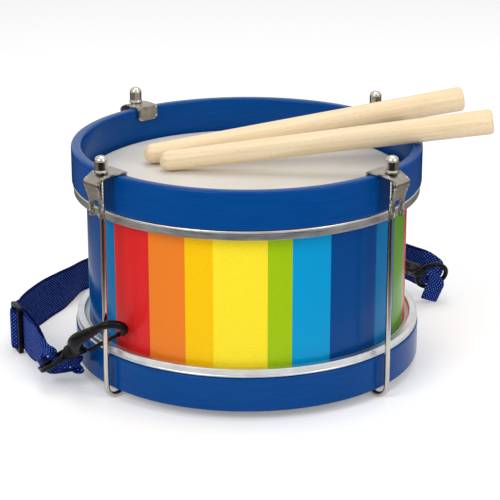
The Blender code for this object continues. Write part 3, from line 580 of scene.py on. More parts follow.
# %% Weaving the mesh
def woven_band():
    """The webbing's mesh with its own flat coordinates, and the line that it follows."""
    points = [[*place, *across, width] for place, across, width in route]
    rows = smooth_line(points, SAMPLES_PER_SPAN * (len(points) - 1))
    places = [Vector(row[:3]) for row in rows]
    build = bmesh.new()
    weave = build.loops.layers.uv.new("weave")
    sections = []
    lengths = []
    travelled = 0.0
    for number, row in enumerate(rows):
        ahead = places[min(number + 1, len(places) - 1)]
        behind = places[max(number - 1, 0)]
        run = (ahead - behind).normalized()
        across = Vector(row[3:6])
        across = (across - run * across.dot(run)).normalized()
        out = run.cross(across).normalized()
        middle = [places[number] + across * (a * MM) + out * (b * MM) for a, b in band_section(row[6])]
        if number:
            travelled += (places[number] - places[number - 1]).length / MM
        lengths.append(travelled)
        half = WEBBING_THICKNESS / 2
        halves = [THIN_EDGE * half] + [half] * (BAND_COLUMNS - 1) + [THIN_EDGE * half]
        front = [point + out * reach for point, reach in zip(middle, halves)]
        back = [point - out * reach for point, reach in zip(middle, halves)]
        sections.append([build.verts.new(point) for point in front + list(reversed(back))])
    per_section = len(sections[0])
    columns = list(range(BAND_COLUMNS + 1)) + list(range(BAND_COLUMNS, -1, -1))
    for number in range(len(sections) - 1):
        first, second = sections[number], sections[number + 1]
        for k in range(per_section):
            after = (k + 1) % per_section
            face = build.faces.new((first[k], first[after], second[after], second[k]))
            corners = ((k, number), (after, number), (after, number + 1), (k, number + 1))
            for loop, (column, row_number) in zip(face.loops, corners):
                place_across = (columns[column] / BAND_COLUMNS - 0.5) * rows[row_number][6]
                loop[weave].uv = (place_across, lengths[row_number])
    build.faces.new(list(reversed(sections[0])))
    build.faces.new(sections[-1])
    bmesh.ops.recalc_face_normals(build, faces=build.faces)
    return finished_mesh("neck_strap_webbing", build, crease=50.0), places, travelled


webbing, strap_line, strap_length = woven_band()
dress(webbing, webbing_finish, "strap", "blue_webbing", "strap_webbing")
print("length of the strap's webbing in mm:", round(strap_length, 1))

# %% [markdown]
# ## Black moulded nylon
#
# Snap hooks and sliders are moulded in black nylon. It is nearly black, a little glossy on the
# rounded edges, and very slightly uneven, because the mould's surface was spark-eroded. The real
# grain is under 0.1 mm and too fine to show, so it is drawn at 0.4 mm.

# %% The hooks' and slider's finish
ERODED_GRAIN = 0.385 * MM
GLOSS_PATCH = 6.25 * MM


def moulded_nylon():
    """Black nylon with a fine eroded texture."""
    made = new_material("moulded_black_nylon")
    place = add_node(made, "TexCoord").outputs["Object"]
    grain = add_node(made, "TexNoise", {"Vector": place, "Scale": 1 / ERODED_GRAIN, "Detail": 2.0})
    cloud = add_node(made, "TexNoise", {"Vector": place, "Scale": 1 / GLOSS_PATCH, "Detail": 3.0})
    colour = add_node(made, "ValToRGB", {"Fac": cloud}, stops=[(0.3, "#040405"), (0.7, "#0B0C0D")])
    polish = add_node(made, "MapRange", {
        "Value": cloud, "From Min": 0.3, "From Max": 0.7, "To Min": 0.24, "To Max": 0.36,
    })
    bump = add_node(made, "Bump", {"Height": grain, "Strength": 0.35, "Distance": 0.05 * MM})
    shader = add_node(made, "BsdfPrincipled", {
        "Base Color": colour, "Roughness": polish, "Normal": bump, "Specular IOR Level": 0.12, "IOR": 1.53,
    })
    add_node(made, "OutputMaterial", {"Surface": shader})
    return made


nylon_finish = moulded_nylon()
print("finish:", nylon_finish.name)

# %% [markdown]
# ## The snap hooks
#
# A snap hook is a swivel eye for the webbing, a thick curved body and a thin springy gate. The
# body is drawn as one bar whose thickness changes along it, from the round collar at the swivel
# to the slim nose. A fused skin over the bars gives the soft inner corners of a moulding.

# %% Where the hooks hang
BODY_OFFSET = 7.5
NOSE_CENTRE = 35.5
EYE_BEHIND = 11.5
HOOKS = {
    "left": {
        "eye": LEFT_ROD + Vector((-30.2, 18.8, -6.6)) * MM,
        "aim": LEFT_ROD + Vector((0.06, 0.12, 17.1)) * MM,
        "limbs": Vector((-0.690, -0.535, 0.487)),
        "eye_width": Vector((0.424, 0.888, 0.176)),
    },
    "right": {
        "eye": RIGHT_ROD + Vector((39.0, 14.3, -5.0)) * MM,
        "aim": RIGHT_ROD + Vector((1.24, -3.12, 14.3)) * MM,
        "limbs": Vector((-0.349, 0.937, 0.0)),
        "eye_width": Vector((0.515, -0.259, 0.817)),
    },
}


def hook_places(hook):
    """The frames of the body and of the eye: X from the swivel to the nose."""
    along = (hook["aim"] - hook["eye"]).normalized()
    origin = hook["eye"] + along * EYE_BEHIND * MM
    places = []
    for wanted in ("limbs", "eye_width"):
        second = (hook[wanted] - along * hook[wanted].dot(along)).normalized()
        turn = Matrix((along, second, along.cross(second))).transposed().to_4x4()
        places.append(Matrix.Translation(origin) @ turn)
    return places


for side, hook in HOOKS.items():
    print(side, "hook hangs", round((hook["aim"] - hook["eye"]).length / MM, 1), "mm from its eye")


# %% The hook's body
def hook_body(side, place):
    """Collar, thick limb, nose and thumb nub."""
    spine = [(6.0, 0.6), (8.6, 2.3), (12.0, 5.6), (17.0, 7.4), (23.0, 7.6), (30.0, BODY_OFFSET)]
    spine += arc((NOSE_CENTRE, 0.0), BODY_OFFSET, 90, -90, 12)
    thick = [3.9, 4.3, 4.4, 4.1, 3.5, 2.8] + [2.4] * 10 + [2.3, 2.1, 1.9]
    rows = smooth_line([[x, y, r] for (x, y), r in zip(spine, thick)], 90)
    points = [Vector((x, y, 0.0)) * MM for x, y, r in rows]
    points, radii = domed(points, [r * MM for x, y, r in rows], start=False)
    limb = bar("limb", points, radii, sides=24, flatten=0.94)
    collar_line = [(0.0, 4.1), (0.5, 4.5), (1.4, 4.5), (1.8, 4.0), (2.6, 3.9), (3.0, 4.3), (4.2, 4.4),
                   (4.7, 3.9), (5.4, 3.8), (5.9, 4.2), (6.8, 4.1), (8.4, 3.0)]
    collar = bar("collar", [Vector((x, 0.05 * x, 0.0)) * MM for x, r in collar_line],
                 [r * MM for x, r in collar_line], sides=32)
    lug_points, lug_radii = domed(
        [Vector((5.0, -1.0, 0.0)) * MM, Vector((7.4, -4.2, 0.0)) * MM, Vector((8.6, -6.4, 0.0)) * MM],
        [2.9 * MM, 2.3 * MM, 2.0 * MM],
    )
    lug = bar("gate_lug", lug_points, lug_radii, sides=20)
    nub_points, nub_radii = domed(
        [Vector((30.0, 9.2, 0.0)) * MM, Vector((31.4, 10.9, 0.0)) * MM], [1.5 * MM, 1.3 * MM], start=False
    )
    nub = bar("thumb_nub", nub_points, nub_radii, sides=16)
    body = moulded(f"{side}_hook_body_moulded", [limb, collar, lug, nub])
    body.matrix_world = place
    return body


# %% The hook's gate and eye
def hook_gate(side, place):
    """A slim bar that springs shut against the nose."""
    rows = smooth_line([[9.5, 1.5], [12.0, 1.45], [20.0, 1.25], [30.0, 1.3], [34.6, 1.5]], 24)
    points, radii = domed([Vector((x, -7.0, 0.0)) * MM for x, r in rows], [r * MM for x, r in rows])
    gate = bar(f"{side}_hook_gate_moulded", points, radii, sides=20, flatten=0.9)
    gate.matrix_world = place
    return gate


def hook_eye(side, place):
    """The swivel eye: a loop for the webbing on a short boss with its pin."""
    loop_points = []
    loop_radii = []
    for step in range(48):
        turn = math.tau * step / 48
        squared = 1.0 + 0.05 * abs(math.sin(2 * turn))
        x = -EYE_BEHIND + 8.5 * math.cos(turn) * squared
        loop_points.append(Vector((x, 9.5 * math.sin(turn) * squared, 0.0)) * MM)
        loop_radii.append((1.5 + 0.25 * max(0.0, math.cos(turn)) ** 4) * MM)
    loop = bar("loop", loop_points, loop_radii, sides=16, closed=True)
    boss = bar("boss", [Vector((x, 0.0, 0.0)) * MM for x in (-4.6, -2.4, -0.9, -0.35)],
               [2.3 * MM, 2.9 * MM, 3.2 * MM, 3.0 * MM], sides=24)
    pin_ends = [Vector((-3.0, 0.0, 0.0)) * MM, Vector((4.0, 0.0, 0.0)) * MM]
    pin = bar("pin", pin_ends, [1.5 * MM] * 2, sides=16)
    eye = moulded(f"{side}_hook_eye_moulded", [loop, boss, pin], voxel=0.32 * MM, smoothing=3)
    eye.matrix_world = place
    return eye


# %% Both hooks
for side, hook in HOOKS.items():
    body_place, eye_place = hook_places(hook)
    for kind, make, place, rides_on in (
        ("body", hook_body, body_place, "strap"),
        ("gate", hook_gate, body_place, f"{side}_gate"),
        ("eye", hook_eye, eye_place, f"{side}_eye"),
    ):
        piece = make(side, place)
        dress(piece, nylon_finish, rides_on, "black_nylon", f"{side}_hook_{kind}")

# %% [markdown]
# ## The slider
#
# The strap's length is set with a three-bar slider: a flat moulded frame with two slots. A filled
# 2D curve makes holes by itself when one closed line lies inside another, and its bevel rounds
# every edge at once, so no cutting is needed.

# %% A three-bar slider
SLOT = 3.8
BAR = 2.4
END_BAR = 2.6
RIM = 2.0
SLIDER_THICKNESS = 2.9
SLOT_HEIGHT = FULL + 2 * 0.45


def rounded_box_line(curve, middle, width, height, radius):
    """Adds a closed rounded rectangle to a 2D curve, in millimetres."""
    x, y = width / 2, height / 2
    corners = [(middle - x, -y), (middle + x, -y), (middle + x, y), (middle - x, y)]
    outline = softened(corners, radius, steps=6)
    spline = curve.splines.new("POLY")
    spline.points.add(len(outline) - 1)
    for knot, (px, py) in zip(spline.points, outline):
        knot.co = (px * MM, py * MM, 0.0, 1.0)
    spline.use_cyclic_u = True


def three_bar_slider():
    """The frame with its two slots, standing on its end."""
    soft = 0.6
    curve = bpy.data.curves.new("slider_outline", "CURVE")
    curve.dimensions = "2D"
    curve.fill_mode = "BOTH"
    width = BAR + 2 * (SLOT + END_BAR)
    rounded_box_line(curve, 0.0, width - 2 * soft, SLOT_HEIGHT + 2 * RIM - 2 * soft, 1.6)
    for side in (-1, 1):
        rounded_box_line(curve, side * (BAR + SLOT) / 2, SLOT + 2 * soft, SLOT_HEIGHT + 2 * soft, 0.9)
    curve.extrude = (SLIDER_THICKNESS / 2 - soft) * MM
    curve.bevel_depth = soft * MM
    curve.bevel_resolution = 3
    outline = bpy.data.objects.new("slider_outline", curve)
    bpy.context.scene.collection.objects.link(outline)
    bpy.context.view_layer.update()
    depsgraph = bpy.context.evaluated_depsgraph_get()
    mesh = bpy.data.meshes.new_from_object(outline.evaluated_get(depsgraph), depsgraph=depsgraph)
    bpy.data.objects.remove(outline, do_unlink=True)
    mesh.shade_smooth()
    mesh.set_sharp_from_angle(angle=math.radians(40))
    slider = bpy.data.objects.new("strap_slider_moulded", mesh)
    bpy.context.scene.collection.objects.link(slider)
    upright = Matrix.Rotation(math.radians(90), 4, "X")
    slider.matrix_world = slider_place() @ upright
    return slider


slider = dress(three_bar_slider(), nylon_finish, "strap", "black_nylon", "strap_slider")
print("slider box in mm:", [round(v / MM, 1) for v in slider.dimensions])

# %% [markdown]
# ## The strap's length
#
# The strap leaves the slider and comes back into the right hook's eye, with the slider and both
# hooks on it.

# %% The strap's length
print("strap declared, in metres:", round(strap_length * MM, 3))

# %% [markdown]
# ## Birch plywood and the striped film
#
# The shell is a tube of thin birch plywood. Its outside carries a printed, glossy plastic film in
# bold vertical stripes of different widths, which only the film's colours tell apart. The angle
# round the drum picks the stripe, through a ramp with hard steps. The ink is mottled at about a
# millimetre, and the film waves a little every 14 mm or so, as it does over wood.

# %% The stripes in order round the drum
# Each stripe's start in degrees round the drum, and its ink.
STRIPES = [
    (-180.0, "light"), (-171.0, "navy"), (-150.5, "azure"), (-142.6, "red"), (-125.2, "orange"),
    (-111.4, "amber"), (-101.4, "yellow"), (-83.8, "lime"), (-74.6, "light"), (-60.6, "navy"),
    (-40.0, "azure"), (-26.8, "green"), (-14.2, "red"), (3.2, "orange"), (17.0, "amber"),
    (27.0, "yellow"), (44.6, "lime"), (53.8, "light"), (67.8, "navy"), (88.4, "azure"),
    (101.6, "green"), (114.2, "red"), (131.6, "orange"), (145.4, "yellow"), (163.0, "light"),
]
INKS = {
    "red": "#DC2829", "orange": "#EF8127", "amber": "#FBC705", "yellow": "#FDE42E", "lime": "#A0C40C",
    "light": "#0099D2", "navy": "#00458A", "azure": "#006FA8", "green": "#5E9420",
}
PRINT_MOTTLE = 1.11 * MM
FILM_WAVE = 14.3 * MM


def printed_film():
    """Glossy printed film in vertical stripes, with the faint waviness of film on wood."""
    made = new_material("printed_polyester_film")
    place, angle = round_coordinates(made, SHELL_RADIUS)
    share = add_node(made, "MapRange", {
        "Value": angle, "From Min": -math.pi, "From Max": math.pi, "To Min": 0.0, "To Max": 1.0,
    })
    stripes = add_node(made, "ValToRGB", {"Fac": share}, stops=[
        ((start + 180) / 360, INKS[ink]) for start, ink in STRIPES
    ])
    stripes.color_ramp.interpolation = "CONSTANT"
    mottle = add_node(made, "TexNoise", {"Vector": place, "Scale": 1 / PRINT_MOTTLE, "Detail": 2.0})
    tone = add_node(made, "ValToRGB", {"Fac": mottle}, stops=[(0.3, "#F6F6F6"), (0.7, "#FFFFFF")])
    printed = add_node(made, "Mix", {"Factor": 1.0, 6: stripes, 7: tone},
                       data_type="RGBA", blend_type="MULTIPLY")
    wave = add_node(made, "TexNoise", {"Vector": place, "Scale": 1 / FILM_WAVE, "Detail": 2.0})
    bump = add_node(made, "Bump", {"Height": wave, "Strength": 0.12, "Distance": 0.2 * MM})
    shader = add_node(made, "BsdfPrincipled", {
        "Base Color": printed.outputs[2], "Roughness": 0.2, "Normal": bump,
        "Specular IOR Level": 0.12, "IOR": 1.5,
    })
    add_node(made, "OutputMaterial", {"Surface": shader})
    return made


film_finish = printed_film()
print("stripes:", len(STRIPES))

# %% Birch plywood
BIRCH_GRAIN = 1.11 * MM


def birch_plywood():
    """Pale veneer whose grain runs round the shell."""
    made = new_material("birch_plywood")
    place, angle = round_coordinates(made, SHELL_RADIUS)
    stretched = add_node(made, "Mapping", {"Vector": place, "Scale": (0.05, 1.0, 1.0)})
    grain = add_node(made, "TexNoise", {
        "Vector": stretched, "Scale": 1 / BIRCH_GRAIN, "Detail": 4.0, "Distortion": 0.4,
    })
    colour = add_node(made, "ValToRGB", {"Fac": grain}, stops=[
        (0.25, "#B98F5C"), (0.5, "#D4B382"), (0.75, "#E2C79A"),
    ])
    bump = add_node(made, "Bump", {"Height": grain, "Strength": 0.3, "Distance": 0.1 * MM})
    shader = add_node(made, "BsdfPrincipled", {
        "Base Color": colour, "Roughness": 0.6, "Normal": bump,
    })
    add_node(made, "OutputMaterial", {"Surface": shader})
    return made


birch_finish = birch_plywood()
print("finish:", birch_finish.name)

# %% The shell and its film
SHELL_WALL = 4.6 * MM
FILM_THICKNESS = 0.4 * MM
SHELL_EDGE = 2.2 * MM
shell_outer = SHELL_RADIUS - FILM_THICKNESS - GAP
shell_inner = SHELL_RADIUS - SHELL_WALL
shell = turned("shell_of_birch", softened([
    (shell_outer - SHELL_EDGE, shell_high.z), (shell_outer, shell_high.z - SHELL_EDGE),
    (shell_outer, shell_low.z + SHELL_EDGE), (shell_outer - SHELL_EDGE, shell_low.z),
    (shell_inner, shell_low.z), (shell_inner, shell_high.z),
], 0.8 * MM))
dress(shell, birch_finish, "drum", "shell_birch", "shell")
wrap = turned("wrap_with_stripes", [
    (SHELL_RADIUS, wrap_high.z), (SHELL_RADIUS, wrap_low.z),
    (SHELL_RADIUS - FILM_THICKNESS, wrap_low.z), (SHELL_RADIUS - FILM_THICKNESS, wrap_high.z),
], segments=360)
dress(wrap, film_finish, "drum", "striped_print", "striped_wrap")
print("wrap from", round(wrap_low.z / MM, 2), "to", round(wrap_high.z / MM, 2), "mm")

# %% [markdown]
# ## The two heads
#
# Drum heads are polyester film, moulded with a collar that bends over the shell's edge and ends in
# a hem inside the metal ring. An off-white coating makes them satin. The film is drawn as its real
# section and turned once round. The sprayed coating is a grain of about 0.7 mm, drawn coarser than
# the real one so that it shows, and handling leaves faint marks a few centimetres across.

# %% Coated polyester
SPRAY_GRAIN = 0.714 * MM
HANDLING_MARK = 45.5 * MM


def coated_polyester():
    """Off-white film with a fine sprayed coating and faint marks of use."""
    made = new_material("coated_polyester_head")
    place = add_node(made, "TexCoord").outputs["Object"]
    spray = add_node(made, "TexNoise", {"Vector": place, "Scale": 1 / SPRAY_GRAIN, "Detail": 3.0})
    cloud = add_node(made, "TexNoise", {"Vector": place, "Scale": 1 / HANDLING_MARK, "Detail": 4.0})
    colour = add_node(made, "ValToRGB", {"Fac": cloud}, stops=[(0.3, "#D6D2C9"), (0.7, "#DEDAD2")])
    satin = add_node(made, "MapRange", {
        "Value": cloud, "From Min": 0.3, "From Max": 0.7, "To Min": 0.38, "To Max": 0.5,
    })
    bump = add_node(made, "Bump", {"Height": spray, "Strength": 0.25, "Distance": 0.05 * MM})
    shader = add_node(made, "BsdfPrincipled", {
        "Base Color": colour, "Roughness": satin, "Normal": bump,
        "Subsurface Weight": 0.08, "Subsurface Radius": (2 * MM, 2 * MM, 2 * MM), "IOR": 1.55,
    })
    add_node(made, "OutputMaterial", {"Surface": shader})
    return made


head_finish = coated_polyester()
print("finish:", head_finish.name)

# %% Both heads
FILM = 0.3 * MM
BEND_RADIUS = 3.1 * MM
HEM_REACH = 2.6 * MM


def head_outline(hem_drop):
    """The section of a head with its face at height 0, from the middle outwards and back."""
    outer = SHELL_RADIUS + GAP + FILM
    hem_end = RING_RADIUS - RING_WIDTH + HEM_REACH
    flat = outer - BEND_RADIUS
    upper = arc((flat, -BEND_RADIUS), BEND_RADIUS, 90, 0, 8)
    lower = arc((flat, -BEND_RADIUS), BEND_RADIUS - FILM, 90, 0, 8)
    hem_top = -hem_drop + FILM / 2
    hem = [(outer, hem_top), (hem_end, hem_top)]
    hem += [(hem_end, hem_top - FILM), (outer - FILM, hem_top - FILM)]
    across = [(0.0, 0.0), (30 * MM, 0.0), (60 * MM, 0.0)]
    under = [(radius, -FILM) for radius, height in reversed(across)]
    return across + upper + hem + list(reversed(lower)) + under


batter_outline = head_outline(batter_face - sum(ring_heights["top"]) / 2)
batter = turned("batter_head_film", [(r, batter_face + z) for r, z in batter_outline], closed=False)
dress(batter, head_finish, "drum", "head_film", "batter_head")
resonant_outline = head_outline(sum(ring_heights["bottom"]) / 2)
resonant = turned("resonant_head_film", [(r, -z) for r, z in resonant_outline], closed=False)
dress(resonant, head_finish, "drum", "head_film", "resonant_head")
print("heads at", round(batter_face / MM, 2), "and 0 mm")

# %% [markdown]
# ## Rolled aluminium rings
#
# Each head's hem is gripped by an aluminium ring, rolled from a strip and butted into a circle.
# Rolling leaves fine streaks along the strip and a satin shine, and its edge next to the hoop is a
# small round bead that catches the light. The streaks are noise stretched round the drum. They are
# drawn about 0.45 mm wide, because the real ones, of a tenth of that, would not show.

# %% Rolled aluminium
ROLLING_STREAK = 0.4545 * MM
SHINE_PATCH = 8.33 * MM


def rolled_aluminium():
    """Satin aluminium with fine streaks round the ring."""
    made = new_material("rolled_aluminium")
    place, angle = round_coordinates(made, RING_RADIUS)
    stretched = add_node(made, "Mapping", {"Vector": place, "Scale": (0.03, 1.0, 1.0)})
    streaks = add_node(made, "TexNoise", {
        "Vector": stretched, "Scale": 1 / ROLLING_STREAK, "Detail": 3.0,
    })
    cloud = add_node(made, "TexNoise", {"Vector": place, "Scale": 1 / SHINE_PATCH, "Detail": 3.0})
    colour = add_node(made, "ValToRGB", {"Fac": cloud}, stops=[(0.3, "#C6C8CA"), (0.7, "#D9DADB")])
    satin = add_node(made, "MapRange", {
        "Value": streaks, "From Min": 0.3, "From Max": 0.7, "To Min": 0.26, "To Max": 0.44,
    })
    bump = add_node(made, "Bump", {"Height": streaks, "Strength": 0.35, "Distance": 0.06 * MM})
    shader = add_node(made, "BsdfPrincipled", {
        "Base Color": colour, "Metallic": 1.0, "Roughness": satin, "Normal": bump,
    })
    add_node(made, "OutputMaterial", {"Surface": shader})
    return made


aluminium_finish = rolled_aluminium()
print("finish:", aluminium_finish.name)

# %% The two rings
BEAD = 0.75 * MM


def ring_outline(low, high, bead_up):
    """The ring's section: a flat band with a bead along the edge that touches the hoop."""
    inner = RING_RADIUS - RING_WIDTH
    band = RING_RADIUS - 0.55 * MM
    bead_middle = high - BEAD if bead_up else low + BEAD
    bead = arc((RING_RADIUS - BEAD, bead_middle), BEAD, 80, -80, 10)
    plain_low = [(band, low + 0.4 * MM), (band - 0.4 * MM, low)]
    plain_high = [(band - 0.4 * MM, high), (band, high - 0.4 * MM)]
    middle = (low + high) / 2
    slot = FILM / 2 + GAP
    slot_end = inner + HEM_REACH + GAP
    channel = [(inner, middle - slot), (slot_end, middle - slot)]
    channel += [(slot_end, middle + slot), (inner, middle + slot)]
    outside = bead + plain_low if bead_up else plain_high + bead
    return [(inner, high)] + outside + [(inner, low)] + channel


for end, (low, high) in ring_heights.items():
    ring = turned(f"{end}_ring_rolled", ring_outline(low, high, end == "top"), segments=320)
    dress(ring, aluminium_finish, "drum", "rolled_aluminium", f"{end}_head_ring")
print("top ring from", *[round(v / MM, 2) for v in ring_heights["top"]], "mm")

# %% [markdown]
# ## Lacquered hoops
#
# The two hoops are strips of wood bent into a circle and sprayed with a thick glossy lacquer. The
# lacquer fills the grain but follows it a little, so the reflections waver along the hoop: bands of
# grain about 1.4 mm wide run round it, under the slight waviness of about 2.4 mm that spraying
# leaves. The edges are rounded by sanding.

# %% Blue lacquer on bent wood
WOOD_GRAIN = 1.43 * MM
SPRAY_WAVE = 2.38 * MM


def blue_lacquer():
    """Deep blue lacquer with the wood's grain faintly visible round the hoop."""
    made = new_material("blue_lacquer_on_bent_wood")
    place, angle = round_coordinates(made, HOOP_RADIUS)
    stretched = add_node(made, "Mapping", {"Vector": place, "Scale": (0.06, 1.0, 1.0)})
    grain = add_node(made, "TexNoise", {
        "Vector": stretched, "Scale": 1 / WOOD_GRAIN, "Detail": 4.0, "Distortion": 0.3,
    })
    wave = add_node(made, "TexNoise", {"Vector": place, "Scale": 1 / SPRAY_WAVE, "Detail": 1.0})
    colour = add_node(made, "ValToRGB", {"Fac": grain}, stops=[(0.25, "#003E82"), (0.75, "#00488F")])
    relief = add_node(made, "Math", {0: grain, 1: wave}, operation="ADD")
    bump = add_node(made, "Bump", {"Height": relief, "Strength": 0.18, "Distance": 0.06 * MM})
    shader = add_node(made, "BsdfPrincipled", {
        "Base Color": colour, "Roughness": 0.2, "Normal": bump, "Specular IOR Level": 0.1, "IOR": 1.5,
    })
    add_node(made, "OutputMaterial", {"Surface": shader})
    return made


lacquer_finish = blue_lacquer()
print("finish:", lacquer_finish.name)

# %% The two hoops
for end, (low, high) in hoop_heights.items():
    inner = HOOP_RADIUS - HOOP_WALL
    outline = [(inner, high), (HOOP_RADIUS, high), (HOOP_RADIUS, low), (inner, low)]
    rounds = [1.6 * MM, 1.6 * MM, 1.2 * MM, 1.2 * MM] if end == "top" else [1.2 * MM] * 4
    hoop = turned(f"{end}_hoop_lacquered", softened(outline, rounds, steps=6), segments=320)
    dress(hoop, lacquer_finish, "drum", "blue_lacquer", f"{end}_hoop")
print("top hoop from", *[round(v / MM, 2) for v in hoop_heights["top"]], "mm")

# %% [markdown]
# ## Nickel plating
#
# Rods and nuts are drawn and turned steel, and the claws are pressed from sheet, all plated with
# bright nickel. Nickel is a slightly warm mirror. Drawing leaves streaks along the wire, and
# pressing leaves a soft unevenness in the sheet, so each has its own finish. Streaks and grain are
# drawn at about 0.4 mm, several times their real size, because they wouldn't show otherwise.

# %% Drawn nickel wire
DRAWING_STREAK = 0.4 * MM
THREAD_PITCH = 0.8 * MM
THREAD_START = 92 * MM


def nickel_wire():
    """Bright plated wire, with a rolled thread near the top."""
    made = new_material("nickel_plated_wire")
    place = add_node(made, "TexCoord").outputs["Object"]
    parts = add_node(made, "SeparateXYZ", {"Vector": place})
    stretched = add_node(made, "Mapping", {"Vector": place, "Scale": (1.0, 1.0, 0.05)})
    streaks = add_node(made, "TexNoise", {
        "Vector": stretched, "Scale": 1 / DRAWING_STREAK, "Detail": 2.0,
    })
    turns = add_node(made, "Math", {0: parts.outputs["Z"], 1: math.tau / THREAD_PITCH},
                     operation="MULTIPLY")
    thread = add_node(made, "Math", {0: turns}, operation="SINE")
    threaded = add_node(made, "MapRange", {
        "Value": parts.outputs["Z"], "From Min": THREAD_START, "From Max": THREAD_START + 1.0 * MM,
        "To Min": 0.0, "To Max": 1.0,
    })
    ridge = add_node(made, "Math", {0: thread, 1: threaded}, operation="MULTIPLY")
    relief = add_node(made, "Math", {0: streaks, 1: 0.15, 2: ridge}, operation="MULTIPLY_ADD")
    bump = add_node(made, "Bump", {"Height": relief, "Strength": 0.4, "Distance": 0.12 * MM})
    colour = add_node(made, "ValToRGB", {"Fac": streaks}, stops=[(0.3, "#B5AFA4"), (0.7, "#CFC9BE")])
    shader = add_node(made, "BsdfPrincipled", {
        "Base Color": colour, "Metallic": 1.0, "Roughness": 0.17, "Normal": bump,
    })
    add_node(made, "OutputMaterial", {"Surface": shader})
    return made


wire_finish = nickel_wire()
print("finish:", wire_finish.name)

# %% Pressed nickel sheet
PRESS_PATCH = 4.17 * MM
PLATING_GRAIN = 0.455 * MM


def nickel_sheet():
    """Plated sheet with soft unevenness from the press."""
    made = new_material("nickel_plated_sheet")
    place = add_node(made, "TexCoord").outputs["Object"]
    cloud = add_node(made, "TexNoise", {"Vector": place, "Scale": 1 / PRESS_PATCH, "Detail": 3.0})
    fine = add_node(made, "TexNoise", {"Vector": place, "Scale": 1 / PLATING_GRAIN, "Detail": 2.0})
    colour = add_node(made, "ValToRGB", {"Fac": cloud}, stops=[(0.3, "#8C867D"), (0.7, "#A8A298")])
    polish = add_node(made, "MapRange", {
        "Value": cloud, "From Min": 0.3, "From Max": 0.7, "To Min": 0.3, "To Max": 0.42,
    })
    bump = add_node(made, "Bump", {"Height": fine, "Strength": 0.2, "Distance": 0.04 * MM})
    shader = add_node(made, "BsdfPrincipled", {
        "Base Color": colour, "Metallic": 1.0, "Roughness": polish, "Normal": bump,
    })
    add_node(made, "OutputMaterial", {"Surface": shader})
    return made


sheet_finish = nickel_sheet()
print("finish:", sheet_finish.name)

# %% [markdown]
# ## Tension rods
#
# Each rod is a 3 mm wire: a straight shank outside the hoops, hooked under the lower hoop and
# threaded at the top. It is one bar along a straight line and half a circle.

# %% The four rods
BEND = 6.5 * MM
LEG = 6.0 * MM
bend_height = floor_height + BEND + ROD_RADIUS


def rod_line():
    """Points down the shank, round the bend and up the short inner leg."""
    points = [Vector((ROD_CIRCLE, 0.0, nut_base + 6.7 * MM)), Vector((ROD_CIRCLE, 0.0, bend_height))]
    bend = arc((ROD_CIRCLE - BEND, bend_height), BEND, 0, -180, 24)
    points += [Vector((x, 0.0, z)) for x, z in bend[1:]]
    points.append(Vector((ROD_CIRCLE - 2 * BEND, 0.0, bend_height + LEG)))
    return points


for corner, angle in ROD_ANGLES.items():
    turn = Matrix.Rotation(math.radians(angle), 4, "Z")
    points, radii = domed(rod_line(), [ROD_RADIUS] * len(rod_line()))
    rod = bar(f"rod_{corner}_bent", points, radii, sides=24, first_side=(0.0, 1.0, 0.0))
    rod.matrix_world = turn
    dress(rod, wire_finish, "drum", "nickel_wire", f"tension_rod_{corner}")
print("rods:", list(ROD_ANGLES))

# %% [markdown]
# ## Claws
#
# A claw is a strip of sheet metal folded over the hoop: a short tongue inside, a flat top that the
# rod passes through, a rounded flap outside and a fork of two prongs that guides the rod. The
# strip's outer face is built as a grid of faces, then given thickness. The strip's short rows clamp
# its bevel to next to no width, so it only changes how the edges catch the light.

# %% The claw's folded strip
CLAW_SHEET = 1.0 * MM
PRONG_GAP = 4.4
LEAST_PRONG = 1.5
FORK_DROP = -13.5
TONGUE_HALF = 7.05 * MM
HOOP_FACETS = 48
flap = ROD_CIRCLE + 4.0 * MM
# The solid hoop has flat facets inside, and the flat tongue's corners stay clear of them.
hoop_inside = (HOOP_RADIUS - HOOP_WALL) * math.cos(math.pi / HOOP_FACETS)
inner_face = math.sqrt(hoop_inside ** 2 - TONGUE_HALF ** 2) - (GAP + CLAW_SHEET)
# Radius from the drum's axis in metres, then drop from the claw's top and width in millimetres.
CLAW_STATIONS = [
    (inner_face, -8.5, 9.4), (inner_face, -7.6, 12.6), (inner_face, -6.6, 14.1), (inner_face, -1.1, 14.1),
    (inner_face + 1.1 * MM, 0.0, 14.1), (ROD_CIRCLE - 0.6 * MM, 0.0, 14.1), (flap - 1.2 * MM, -0.8, 13.0),
    (flap + 1.2 * MM, -2.0, 12.6), (flap + 3.2 * MM, -3.5, 12.6), (flap + 3.6 * MM, -5.0, 12.6),
    (flap + 2.6 * MM, -8.2, 12.1), (flap + 0.8 * MM, -13.5, 12.0), (flap + 0.3 * MM, -15.7, 12.0),
    (flap + 0.3 * MM, -22.6, 12.0), (flap + 0.3 * MM, -23.5, 11.2), (flap + 0.3 * MM, -23.8, 10.0),
]


